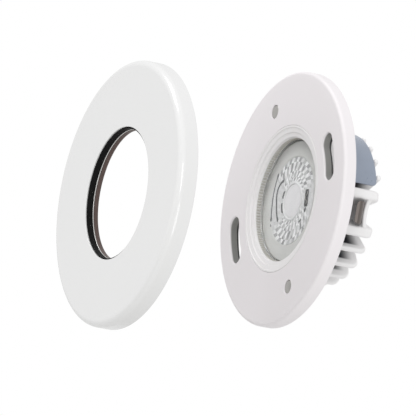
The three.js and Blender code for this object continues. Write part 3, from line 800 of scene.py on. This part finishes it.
# Rings of diamonds between the dome and the frosted ring, closed at the back
def makeFacets(s):
    rng = random.Random(s["seed"])
    around, radii = s["around"], s["radii"]
    verts, faces, shades = [], [], []
    for j, r in enumerate(radii):
        along = (r - radii[0]) / (radii[-1] - radii[0])
        for k in range(around):
            angle = 360 * (k + 0.5 * (j % 2)) / around
            edge = j in (0, len(radii) - 1)
            lift = 0 if edge else s["depth"] * sparkleAt(s, angle) * rng.uniform(-1, 1)
            x, z = onCircle(r, angle)
            verts.append((x, s["front"] - s["rise"] * along + lift, z))

    def at(j, k):
        return j * around + k % around

    tones = {}

    # Each diamond has one painted glint tone. Its contrast with its neighbours is strongest where the facets
    # sparkle, and it is lighter nearer the dome as a painted highlight
    def addFacet(places, j, k):
        k %= around
        if (j, k) not in tones:
            strong = sparkleAt(s, 360 * (k + 0.5) / around)
            near = 1 - j / len(radii)
            dark, light = s["tones"][(j + k) % 2]
            tone = rng.uniform(dark, light) + s["nearDomeHighlight"] * near
            tones[j, k] = s["plainTone"] + strong * (tone - s["plainTone"])
        faces.append(places)
        shades.append(min(tones[j, k], 1.0))

    for j in range(len(radii) - 1):
        shift = j % 2
        for k in range(around):
            if j % 2 == 0:
                low = (at(j, k), at(j, k + 1), at(j + 1, k))
                high = (at(j + 1, k), at(j, k + 1), at(j + 1, k + 1))
            else:
                low = (at(j, k), at(j, k + 1), at(j + 1, k + 1))
                high = (at(j, k), at(j + 1, k + 1), at(j + 1, k))
            addFacet(low, j, k)
            addFacet(high, j + 1, k + shift)
    last = len(radii) - 1
    start = len(verts)
    for r in (radii[-1], radii[0]):
        for k in range(around):
            angle = 360 * (k + 0.5 * (last % 2 if r == radii[-1] else 0)) / around
            x, z = onCircle(r, angle)
            verts.append((x, s["back"], z))
    for k in range(around):
        n = (k + 1) % around
        for ring in ((at(last, k), at(last, n), start + n, start + k),
            (start + k, start + n, start + around + n, start + around + k),
            (start + around + k, start + around + n, at(0, n), at(0, k))):
            faces.append(ring)
            shades.append(s["backTone"])
    piece = fromPy("opticFacets", verts, faces, finish["lensFacets"])
    shadeFaces(piece, shades)
    finishPiece(weld(piece), "lamp", "clear_optic")


def makeDome(s):
    dome = turned("opticDome", [(0, s["front"]), (s["radius"] * 0.6, s["front"] + 0.03, 6),
        (s["radius"], s["front"] + s["rise"], 0.2), (s["radius"], s["back"], 0), (0, s["back"])],
        finish["lensDome"], sides=128, steps=6)
    finishPiece(polish(dome), "lamp", "clear_optic")
    collar = turned("opticCollar", [(s["collarInner"], s["front"] + 0.1, 0.15),
        ((s["collarInner"] + s["collar"]) / 2, s["front"], 0.4), (s["collar"], s["front"] + 0.25, 0.15),
        (s["collar"], s["back"], 0), (s["collarInner"], s["back"], 0)], finish["lensCollar"], sides=128,
        steps=4)
    finishPiece(polish(collar, 50), "lamp", "clear_optic")


# Dark curved strips set in the optic's face: painted reflections of the LED holder's contact springs seen
# through the clear optic. A strip is (places as (angle, radius), width, width at its ends).
stripSet = {
    "front": 0.02, "back": 0.6, "steps": 12, "endReach": 0.9,
    "opticStrips": {"finish": "paintedReflectionDark", "strips": (
        (((117, 18.0), (134, 16.9), (150, 16.3), (167, 16.2), (183, 17.0)), 0.75, 1.6),
        (((112, 12.3), (126, 13.6), (141, 13.9), (163, 12.6), (196, 12.3)), 0.85, 1.3),
        (((-38, 12.6), (-42, 12.2), (-47, 12.4)), 0.9, 1.2),
    )},
    "opticMarks": {"finish": "matteBlack", "strips": (
        (((126, 8.2), (137, 8.15), (148, 8.2)), 0.95, 1.2),
        (((160, 8.2), (176, 8.15), (190, 8.2)), 0.8, 1.0),
        (((186, 17.4), (188, 17.45), (190, 17.5)), 0.9, 0.9),
        (((-69, 12.0), (-65, 12.1), (-61, 12.2)), 0.8, 1.1),
    )},
}


def makeStrips(name, s):
    made = s[name]
    parts = []
    for places, width, endWidth in made["strips"]:
        line = smoothLine(places, s["steps"])
        spots = [Vector(onCircle(r, angle)) for angle, r in line]
        reach = [0.0]
        for a, b in zip(spots, spots[1:]):
            reach.append(reach[-1] + (b - a).length)
        loops = []
        for i, here in enumerate(spots):
            side = acrossLine(spots, i)
            end = min(reach[i], reach[-1] - reach[i])
            bulge = math.exp(-(((end - s["endReach"]) / s["endReach"]) ** 2))
            cap = min(1.0, math.sqrt(max(end, 0.02) / (s["endReach"] * 0.8)))
            wide = (width + (endWidth - width) * bulge) * cap
            section = roundedOutline([(-wide / 2, s["front"], wide * 0.3),
                (wide / 2, s["front"], wide * 0.3), (wide / 2, s["back"], 0.02),
                (-wide / 2, s["back"], 0.02)], steps=3)
            loops.append([(here.x + side.x * u, y, here.y + side.y * u) for u, y in section])
        parts.append(loft("strip", loops))
    piece = combine(parts[0], parts[1:], "UNION")
    piece.name = name
    piece.data.materials.clear()
    piece.data.materials.append(finish[made["finish"]])
    finishPiece(polish(piece, 50), "lamp", "black_plastic")


contactSet = {"front": -0.02, "back": 0.9, "circle": 11.75, "depth": 2.5, "width": 6.8, "turn": 0.5,
    "angle": -20.5, "edge": 0.15, "wire": 0.19, "coils": 2.5, "reach": 0.7, "wireShare": 0.72, "start": 0.6,
    "steps": 40}


# A black block with a bright spring wire that winds along its face
def makeContacts(s):
    centre = (s["circle"], 0)
    layers = edgeLayers(s["front"], s["back"], s["edge"])
    outlines = [(y, boxOutline(s["depth"], s["width"], s["turn"], i, centre)) for y, i in layers]
    block = stacked("block", outlines)
    blocks = copiesRound("contactBlocks", block, finish["matteBlack"], 1, s["angle"])
    finishPiece(polish(blocks), "lamp", "black_plastic", "contact_block_1")
    loops = []
    for k in range(s["steps"] + 1):
        t = k / s["steps"]
        z = (t - 0.5) * s["width"] * s["wireShare"]
        x = s["circle"] + s["reach"] * math.sin(t * s["coils"] * math.pi + s["start"])
        section = boxOutline(2 * s["wire"], 2 * s["wire"], s["wire"], steps=2)
        loops.append([(x + u, s["front"] - 0.02 + v, z) for u, v in section])
    wire = loft("wire", loops)
    wires = copiesRound("contactSpring", wire, finish["zincSteel"], 1, s["angle"])
    finishPiece(polish(wires, 60), "lamp", "zinc_steel")


makeBezel(bezelSet)
makeRibs(ribSet)
makeGlass(glassSet)
makeFrostedRing(opticSet)
makeFacets(facetSet)
makeDome(domeSet)
print("bezel, glass and optic made")


# ---- the heat sink ----
sinkSet = {"collar": 29.4, "collarEnd": 4.5, "wall": 26.2, "cavity": 21.8, "sealRadius": 26.0,
    "sealSeat": 1.2, "ledgeRadius": 23.8, "ledge": 1.8, "floorFront": 6.2, "floorBack": 9.2,
    "shoulder": 12.4, "core": 16.0, "coreRear": 20.0, "driverRadius": 11.6, "driverStep": 12.3,
    "driverWall": 11.0}
finSet = {"thickness": 2.2, "wallThickness": 4.0, "edge": 0.9, "wallEdge": 1.1, "radius": 30.0,
    "rear": 22.6, "corner": 3.4, "root": 25.2, "start": 2.5, "platedRadius": 28.9, "tipStart": 20.7,
    "tipCorner": 1.0, "perSector": 7}
pocketSet = {"angles": (-30, 90, 210), "halfAngle": 14.5, "webFront": 17.0, "webBack": 18.6,
    "webRadius": 29.4, "webWaist": 27.8, "webHalfWidth": 5.6}
leafScrewCircle = 25.4
holderScrewSet = {"circle": 14.6, "angles": (45, 225)}
capScrewSet = {"circle": 14.2, "angles": (30, 150, 270)}
wireSet = {"circle": 10.2, "angles": (90, 270), "hole": 1.0}


def holeCutters(radius, front, back, circle, angles, sides=20):
    return [disc("holeCutter", radius, front, back, 0, sides=sides, centre=onCircle(circle, a))
        for a in angles]


# A fin's outline in radius and y. Behind the rating plate it steps in.
def finOutline(s, inset, plated):
    outer, rear = s["radius"] - inset, s["rear"] - inset
    corners = [(s["root"], s["start"], 0)]
    if plated:
        side = s["platedRadius"] - inset
        corners += [(side, s["start"], 0), (side, s["tipStart"] + inset, 0.3),
            (outer, s["tipStart"] + inset, 0.5)]
    else:
        corners += [(outer, s["start"], 0)]
    corner = s["tipCorner"] if plated else s["corner"]
    corners += [(outer, rear, corner - inset * 0.6), (sinkSet["core"] + 2.2, rear, 0.8),
        (sinkSet["core"] - 0.5, sinkSet["coreRear"] - 0.4, 0),
        (sinkSet["core"] - 0.5, sinkSet["shoulder"] - 1, 0), (s["root"], sinkSet["shoulder"] - 1, 0)]
    return [tuple(p) for p in roundedProfile(corners, True, 8)]


def finCopy(s, thickness, edge, plated):
    layers = edgeLayers(-thickness / 2, thickness / 2, edge, 4)
    return loft("fin", [[(r, y, z) for r, y in finOutline(s, inset, plated)] for z, inset in layers])


def webCopy(s):
    def outline(inset):
        half, far = s["webHalfWidth"], s["webRadius"] - inset
        waist = s["webWaist"] - inset
        edge = [(far - (far - waist) * math.cos(z / half * math.pi / 2) ** 0.8, z)
            for z in (half * (k / 10 - 1) for k in range(21))]
        return [(sinkSet["core"] - 0.5, -half)] + edge + [(sinkSet["core"] - 0.5, half)]

    return stacked("web", [(y, outline(i)) for y, i in edgeLayers(s["webFront"], s["webBack"], 0.5)])


def makeHeatSink(s, f, p):
    paint = finish["castingPaint"]
    front = nodeSpan("heat_sink")[0]
    body = turned("heatSink", [(0, s["floorFront"]), (s["cavity"], s["floorFront"], 0.6),
        (s["cavity"], s["ledge"], 0.2), (s["ledgeRadius"], s["ledge"], 0.1),
        (s["ledgeRadius"], s["sealSeat"], 0.1), (s["sealRadius"], s["sealSeat"], 0.1),
        (s["sealRadius"], front, 0.2), (s["collar"], front, 0.3), (s["collar"], s["collarEnd"], 0.5),
        (s["wall"], s["collarEnd"] + 0.7, 0.8), (s["wall"], s["shoulder"], 1.2),
        (s["core"], s["shoulder"], 1.2), (s["core"], s["coreRear"], 0.4),
        (s["driverRadius"], s["coreRear"], 0.3), (s["driverRadius"], s["driverStep"], 0.1),
        (s["driverWall"], s["driverStep"], 0.1), (s["driverWall"], s["floorBack"], 0.4),
        (0, s["floorBack"])], paint, sides=192, steps=3)
    pitch = (120 - 2 * p["halfAngle"]) / (f["perSector"] - 1)
    inner = f["perSector"] - 2
    first = p["angles"][0] + p["halfAngle"]
    plain = finCopy(f, f["thickness"], f["edge"], False)
    plated = finCopy(f, f["thickness"], f["edge"], True)
    wall = finCopy(f, f["wallThickness"], f["wallEdge"], False)
    parts = [copiesRound("plainFins", plain, paint, 2 * inner, first + 120 + pitch, pitch, inner, 120),
        copiesRound("platedFins", plated, paint, inner, first + pitch, pitch, inner, 120),
        copiesRound("wallFins", wall, paint, 6, first, 120 - 2 * p["halfAngle"], 2, 120),
        copiesRound("webs", webCopy(p), paint, 3, p["angles"][0])]
    combine(body, parts, "UNION")
    holes = holeCutters(1.05, p["webFront"] - 0.5, p["webBack"] + 0.5, leafScrewCircle, p["angles"])
    holes += holeCutters(1.35, s["floorFront"] - 1, s["floorBack"] - 0.4, holderScrewSet["circle"],
        holderScrewSet["angles"])
    holes += holeCutters(wireSet["hole"], s["floorFront"] - 1, s["floorBack"] + 1, wireSet["circle"],
        wireSet["angles"])
    holes += holeCutters(0.95, front - 1, 4, flangeScrewSet["circle"], flangeScrewSet["angles"])
    holes += holeCutters(1.05, 15.5, s["coreRear"] + 1, capScrewSet["circle"], capScrewSet["angles"])
    combine(body, holes)
    polish(body, 35)
    # The painted shade is kept out of the spring pockets: 0 there, 1 elsewhere
    shades = []
    for face in body.data.polygons:
        angle = math.degrees(math.atan2(face.center.z, face.center.x))
        off = min(abs((angle - a + 180) % 360 - 180) for a in p["angles"])
        shades.append(1.0 if off > p["halfAngle"] else 0.0)
    shadeFaces(body, shades)
    finishPiece(body, "lamp", "casting_paint", "heat_sink")


plateSet = {"inner": 29.2, "thickness": 0.6, "centre": 30, "halfAngle": 38, "corner": 1.8, "edge": 0.2,
    "columns": 72}


# A curved sheet: a thin section carried round the axis, shorter towards the ends where the corners round
def makeRatingPlate(s):
    front, back = nodeSpan("rating_plate")[:2]
    outer = s["inner"] + s["thickness"]
    half = math.radians(s["halfAngle"]) * outer
    loops = []
    for k in range(s["columns"] + 1):
        along = -half * math.cos(math.pi * k / s["columns"])
        pull = cornerPull(s["corner"], half - abs(along))
        angle = math.radians(s["centre"]) + along / outer
        middle, height = (front + back) / 2, back - front - 2 * pull
        section = roundedOutline([(s["inner"], middle - height / 2, s["edge"]),
            (outer, middle - height / 2, s["edge"]), (outer, middle + height / 2, s["edge"]),
            (s["inner"], middle + height / 2, s["edge"])], steps=3)
        loops.append([(r * math.cos(angle), y, r * math.sin(angle)) for r, y in section])
    finishPiece(polish(loft("ratingPlate", loops, finish["ratingFoil"])), "lamp", "rating_foil",
        "rating_plate")


makeHeatSink(sinkSet, finSet, pocketSet)
makeRatingPlate(plateSet)
print("heat sink and rating plate made")

# ---- the leaf springs ----
leafSet = {"width": 8.8, "thickness": 0.5, "edge": 0.18, "corner": 1.2,
    "line": ((27.5, 16.6), (28.8, 15.7), (29.9, 14.6), (30.4, 13.5), (30.0, 12.3)), "steps": 7}
footSet = {"inner": 24.0, "outer": 27.2, "front": 16.3, "thickness": 0.4, "width": 6.0}


# A smooth line through the places
def smoothLine(places, steps):
    line = []
    for i in range(len(places) - 1):
        a, b, c, d = (Vector(places[min(max(j, 0), len(places) - 1)]) for j in (i - 1, i, i + 1, i + 2))
        for k in range(steps + (i == len(places) - 2)):
            t = k / steps
            bend, twist = 2 * a - 5 * b + 4 * c - d, 3 * b - a - 3 * c + d
            line.append(0.5 * (2 * b + (c - a) * t + bend * t**2 + twist * t**3))
    return line


def leafMesh(s, name):
    line = smoothLine(s["line"], s["steps"])
    length = sum((b - a).length for a, b in zip(line, line[1:]))
    loops, gone = [], 0.0
    for i, here in enumerate(line):
        if i:
            gone += (here - line[i - 1]).length
        side = acrossLine(line, i)
        pull = cornerPull(s["corner"], length - gone)
        section = boxOutline(s["thickness"], s["width"] - 2 * pull, s["edge"], steps=3)
        loops.append([(here.x + side.x * u, here.y + side.y * u, w) for u, w in section])
    return loft(name, loops)


def makeSprings(s, f):
    for i, angle in enumerate(pocketSet["angles"], 1):
        leaf = leafMesh(s, f"springLeaf_{i}")
        leaf.data.transform(Matrix.Rotation(-math.radians(angle), 4, "Y"))
        leaf.data.materials.append(finish["springSteel"])
        finishPiece(polish(leaf), f"spring_{i}", "spring_steel", f"spring_leaf_{i}")
    centre = ((f["inner"] + f["outer"]) / 2, 0)
    layers = edgeLayers(f["front"], f["front"] + f["thickness"], 0.12, 2)
    length = f["outer"] - f["inner"]
    foot = stacked("foot", [(y, boxOutline(length, f["width"], 0.8, i, centre)) for y, i in layers])
    combine(foot, holeCutters(1.05, f["front"] - 1, f["front"] + 2, leafScrewCircle, (0,)))
    feet = copiesRound("springFeet", foot, finish["springSteel"], 3, pocketSet["angles"][0])
    finishPiece(polish(feet), "lamp", "spring_steel", "spring_foot_1", "spring_foot_2", "spring_foot_3")


makeSprings(leafSet, footSet)
# The optic's dark strips and marks are painted reflections
for stripName in ("opticStrips", "opticMarks"):
    makeStrips(stripName, stripSet)
makeContacts(contactSet)
print("springs and the optic's paintedReflections made")

# ---- screws ----
screwSets = {
    "flangeScrews": {"node": "flange_screw", "count": 3, "circle": flangeScrewSet["circle"], "first": 30,
        "head": 1.25, "height": 0.8, "shank": 0.7, "front": -2.5, "length": 6.2, "way": 1},
    "holderScrews": {"node": "holder_screw", "count": 2, "circle": holderScrewSet["circle"], "first": 45,
        "head": 1.7, "height": 0.75, "shank": 1.1, "front": 1.2, "length": 7.3, "way": 1},
    "springScrews": {"node": "spring_screw", "count": 3, "circle": leafScrewCircle, "first": -30,
        "head": 1.5, "height": 1.1, "shank": 0.8, "front": 15.0, "length": 3.3, "way": 1},
    "capScrews": {"node": "cap_screw", "count": 3, "circle": capScrewSet["circle"], "first": 30,
        "head": 1.7, "height": 1.1, "shank": 0.85, "front": 23.6, "length": 7.4, "way": -1},
}
threadSet = {"pitch": 0.5, "depth": 0.14}


# A pan-headed screw with a cross recess and a threaded shank
def screwCopy(s, thread):
    front, way = s["front"], s["way"]
    corners = [(0, 0, 0), (s["head"] * 0.6, 0.04, 0.3), (s["head"], s["height"] * 0.55, 0.25),
        (s["head"], s["height"], 0.08), (s["shank"], s["height"], 0.05)]
    place = s["height"] + 0.4
    while place + thread["pitch"] < s["length"]:
        corners += [(s["shank"] - thread["depth"], place, 0), (s["shank"], place + thread["pitch"] / 2, 0)]
        place += thread["pitch"]
    corners += [(s["shank"] * 0.5, s["length"], 0), (0, s["length"], 0)]
    body = turned("screw", [(r, front + way * y, t) for r, y, t in corners], sides=24,
        centre=(s["circle"], 0), steps=2)
    arm, half, depth = s["head"] * 0.55, s["head"] * 0.16, s["height"] * 0.55
    cross = []
    for k in range(4):
        turn = Matrix.Rotation(k * math.pi / 2, 2)
        cross += [tuple(turn @ Vector(p)) for p in ((half, -half), (arm, -half), (arm, half))]
    recess = stacked("recess", [(front + way * y, [(s["circle"] + x * scale, z * scale) for x, z in cross])
        for y, scale in ((-0.5, 1.15), (0.0, 1.05), (depth, 0.6))])
    return combine(body, [recess])


for screwName, s in screwSets.items():
    screws = copiesRound(screwName, screwCopy(s, threadSet), finish["zincSteel"], s["count"], s["first"])
    screwNodes = [f"{s['node']}_{i + 1}" for i in range(s["count"])]
    finishPiece(polish(screws), "lamp", "zinc_steel", *screwNodes)
print("screws made")

# ---- the rear cap and the cable gland ----
capSet = {
    "bore": 5.3, "groove": 12.0, "grooveOuter": 12.9, "grooveDepth": 0.7, "edge": 0.6, "hole": 1.1,
    "dish": (7.2, 7.6, 11.0, 11.4), "dishDepth": 0.5,  # its radii, from its inner to its outer edge
    "ribs": 12, "firstRib": 15, "ribEnds": (7.0, 11.6), "ribRoot": 0.9, "ribTop": 0.04, "ribHalf": (0.5, 0.3),
}
glandSet = {
    "stud": 5.0, "across": 6.5, "bore": 4.5, "hexFront": 22.6, "cable": 3.2, "hexEdge": 0.45,
    "threadPitch": 0.6, "threadDepth": 0.3, "nutRim": 1.1, "nutRound": (5.4, 4.7), "nutEdge": 0.35,
    "nutRibs": 24, "nutRib": 0.5, "nutRibRadius": 5.15, "grommet": (4.2, 3.9, 3.5),
}


def makeRearCap(s):
    front, back, outer = nodeSpan("rear_cap")
    dishInner, dishFoot, dishWall, dishOuter = s["dish"]
    dishBack = back - s["dishDepth"]
    grooveBack = front + s["grooveDepth"]
    body = turned("rearCap", [(s["bore"], front, 0.1), (s["groove"], front, 0.1),
        (s["groove"], grooveBack, 0.05), (s["grooveOuter"], grooveBack, 0.05),
        (s["grooveOuter"], front, 0.1), (outer, front, 0.15), (outer, back, s["edge"]),
        (dishOuter, back, 0.25), (dishWall, dishBack, 0.25), (dishFoot, dishBack, 0.25),
        (dishInner, back, 0.25), (s["bore"], back, 0.15)], finish["castingPaint"], sides=128, steps=3)
    low, high = back - s["ribRoot"], back - s["ribTop"]
    wide, thin = s["ribHalf"]
    section = roundedOutline([(low, -wide, 0), (low, wide, 0), (high, thin, 0.2), (high, -thin, 0.2)],
        steps=3)
    rib = loft("rib", [[(r, y, z) for y, z in section] for r in s["ribEnds"]])
    combine(body, [copiesRound("capRibs", rib, finish["castingPaint"], s["ribs"], s["firstRib"])], "UNION")
    combine(body, holeCutters(s["hole"], front - 1, back + 1, capScrewSet["circle"], capScrewSet["angles"]))
    finishPiece(polish(body), "lamp", "casting_paint", "rear_cap")


def hexSolid(name, across, front, back, chamfer):
    corners = [(*onCircle(across, 60 * k), 0.25) for k in range(6)]
    body = stacked(name, [(y, roundedOutline(corners)) for y in (front, back)])
    cone = turned("cone", [(0, front), (across * 0.87, front, 0), (across + 0.01, front + chamfer, 0),
        (across + 0.01, back - chamfer, 0), (across * 0.87, back, 0), (0, back)], sides=72)
    return combine(body, [cone], "INTERSECT")


def makeGland(s):
    front, back = nodeSpan("gland_body")[:2]
    black = finish["blackPlastic"]
    threadRoot, hexBack = s["stud"] - s["threadDepth"], s["hexFront"] + 0.4
    thread = [(0, front, 0), (s["stud"] - 0.5, front, 0)]
    place = front + 0.25
    while place < s["hexFront"] - 0.4:
        thread += [(s["stud"], place, 0), (threadRoot, place + s["threadPitch"] / 2, 0)]
        place += s["threadPitch"]
    thread += [(threadRoot, hexBack, 0), (0, hexBack, 0)]
    stud = turned("glandBody", thread, black, sides=64)
    combine(stud, [hexSolid("hex", s["across"], s["hexFront"], back, s["hexEdge"])], "UNION")
    combine(stud, holeCutters(s["bore"], front - 1, back + 1, 0, (0,), 64))
    finishPiece(polish(stud), "lamp", "black_plastic", "gland_body")

    nutFront, nutBack = nodeSpan("gland_nut")[:2]
    shelf = nutBack - s["nutRim"]
    wide, thin = s["nutRound"]
    dome = turned("glandNut", [(0, shelf - 0.5, 0), (wide, shelf - 0.5, 0), (wide, shelf, 0.3),
        (thin, nutBack, 0.5), (0, nutBack, 0)], black, sides=72, steps=4)
    combine(dome, [hexSolid("hex", s["across"] - 0.3, nutFront, shelf, s["nutEdge"])], "UNION")
    loops = []
    for y, lean in ((shelf - 0.2, 0.0), (shelf + 0.55, 0.3)):
        section = boxOutline(s["nutRib"], s["nutRib"], 0.15, centre=(s["nutRibRadius"] - lean, 0))
        loops.append([(r, y, z) for r, z in section])
    rib = loft("nutRib", loops)
    combine(dome, [copiesRound("nutRibs", rib, black, s["nutRibs"], 0)], "UNION")
    bores = holeCutters(s["bore"], nutFront - 1, shelf - 0.2, 0, (0,), 64)
    bores += holeCutters(s["cable"], nutFront, nutBack + 1, 0, (0,), 64)
    combine(dome, bores)
    finishPiece(polish(dome), "lamp", "black_plastic", "gland_nut")

    sealFront, sealBack = nodeSpan("gland_grommet")[:2]
    wide, waist, thin = s["grommet"]
    grommet = turned("glandGrommet", [(s["cable"], sealFront, 0.1), (wide, sealFront, 0.1),
        (wide, sealFront + 1.2, 0.2), (waist, sealFront + 1.4, 0.1), (waist, sealBack - 0.6, 0.1),
        (thin, sealBack, 0.2), (s["cable"], sealBack, 0.1)], finish["blackRubber"], sides=72, steps=2)
    finishPiece(polish(grommet), "lamp", "black_rubber", "gland_grommet")


def makeSeal(name, node, inner, edge):
    front, back, outer = nodeSpan(node)
    ring = flatRing(name, inner, outer, front, back, edge, finish["silicone"], sides=128, steps=4)
    finishPiece(polish(ring), "lamp", "clear_silicone", node)


makeRearCap(capSet)
makeGland(glandSet)
makeSeal("capSeal", "rear_cap_seal", 12.1, 0.3)
makeSeal("glassSeal", "glass_seal", 23.9, 0.3)
print("rear cap and gland made")

# ---- the trim ----
trimSet = {"sheet": 1.0, "edge": 2.6, "hole": 25.7, "bore": 25.2}


trimCentre = (0.0, nodeMiddle("trim_plate")[1])


def makeTrim(s):
    front, back, outer = nodeSpan("trim_plate")
    sheet = s["sheet"]
    plate = turned("trimPlate", [(s["hole"], front, 0.25), (outer, front, s["edge"]), (outer, back, 0.35),
        (outer - sheet, back, 0.35), (outer - sheet, front + sheet, s["edge"] - sheet),
        (s["hole"], front + sheet, 0.25)], finish["trimEnamel"], sides=320, centre=trimCentre, steps=10)
    finishPiece(polish(plate, 30), "trim", "trim_gloss", "trim_plate")


def makeTrimRing(name, node, material, slot, edge):
    front, back, outer = nodeSpan(node)
    ring = flatRing(name, trimSet["bore"], outer, front, back, edge, finish[material], sides=256,
        centre=trimCentre, steps=3)
    finishPiece(polish(ring), "trim", slot, node)


sealSet = {"lip": 0.25, "lipFront": 0.45, "shelf": 1.2, "edge": 0.15}


# The black ring: a thin lip inside the sheet's hole and a flat flange behind the sheet
def makeTrimSeal(s):
    front = nodeSpan("trim_plate")[0]
    back, outer = nodeSpan("trim_seal")[1:]
    bore = trimSet["bore"]
    seal = turned("trimSeal", [(bore, front + s["lipFront"], 0.1),
        (bore + s["lip"], front + s["lipFront"], 0.1), (bore + s["lip"], front + s["shelf"], 0.05),
        (outer, front + s["shelf"], s["edge"]), (outer, back, s["edge"]), (bore, back, s["edge"])],
        finish["blackRubber"], sides=256, centre=trimCentre, steps=3)
    finishPiece(polish(seal), "trim", "black_rubber", "trim_seal")


makeTrim(trimSet)
makeTrimSeal(sealSet)
makeTrimRing("trimBrightEdge", "trim_washer", "brightEdge", "zinc_steel", 0.08)
makeTrimRing("keeperRing", "keeper_ring", "keeperSteel", "keeper_steel", 0.2)
print("trim made")

# ---- CAD pieces that keep their shape ----
keptFinish = {"led_holder": "whitePlastic", "led_phosphor": "phosphor", "led_chip": "ceramic",
    "led_board": "boardMask", "thermal_pad": "greyPad", "contact_block": "blackPlastic",
    "led_wire_positive": "redInsulation", "led_wire_negative": "blackInsulation",
    "driver_board": "greenMask", "driver_inductor": "ferrite", "driver_capacitor": "blueSleeve",
    "driver_rectifier": "blackPlastic", "supply_terminal": "greenPlastic"}
for name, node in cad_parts.items():
    key = next((k for k in keptFinish if name == k or name.rsplit("_", 1)[0] == k), None)
    if key and not node.hide_render:
        node.data.materials.clear()
        node.data.materials.append(finish[keptFinish[key]])

# ---- stage ----
makeCamera(cameraSet)
for lampName, s in lampSet.items():
    makeLamp(lampName, s)
makeWorld(worldSet)
floorHalf = floorSet["side"] / 2 / mm
floorSides = ((-floorHalf, -floorHalf), (floorHalf, -floorHalf), (floorHalf, floorHalf),
    (-floorHalf, floorHalf))
floorCorners = [(x, y, -floorSet["below"] / mm) for x, y in floorSides]
floor = fromPy("floor", floorCorners, [(0, 1, 2, 3)], finish["ceramic"])
bpy.context.scene.view_settings.view_transform = "Standard"
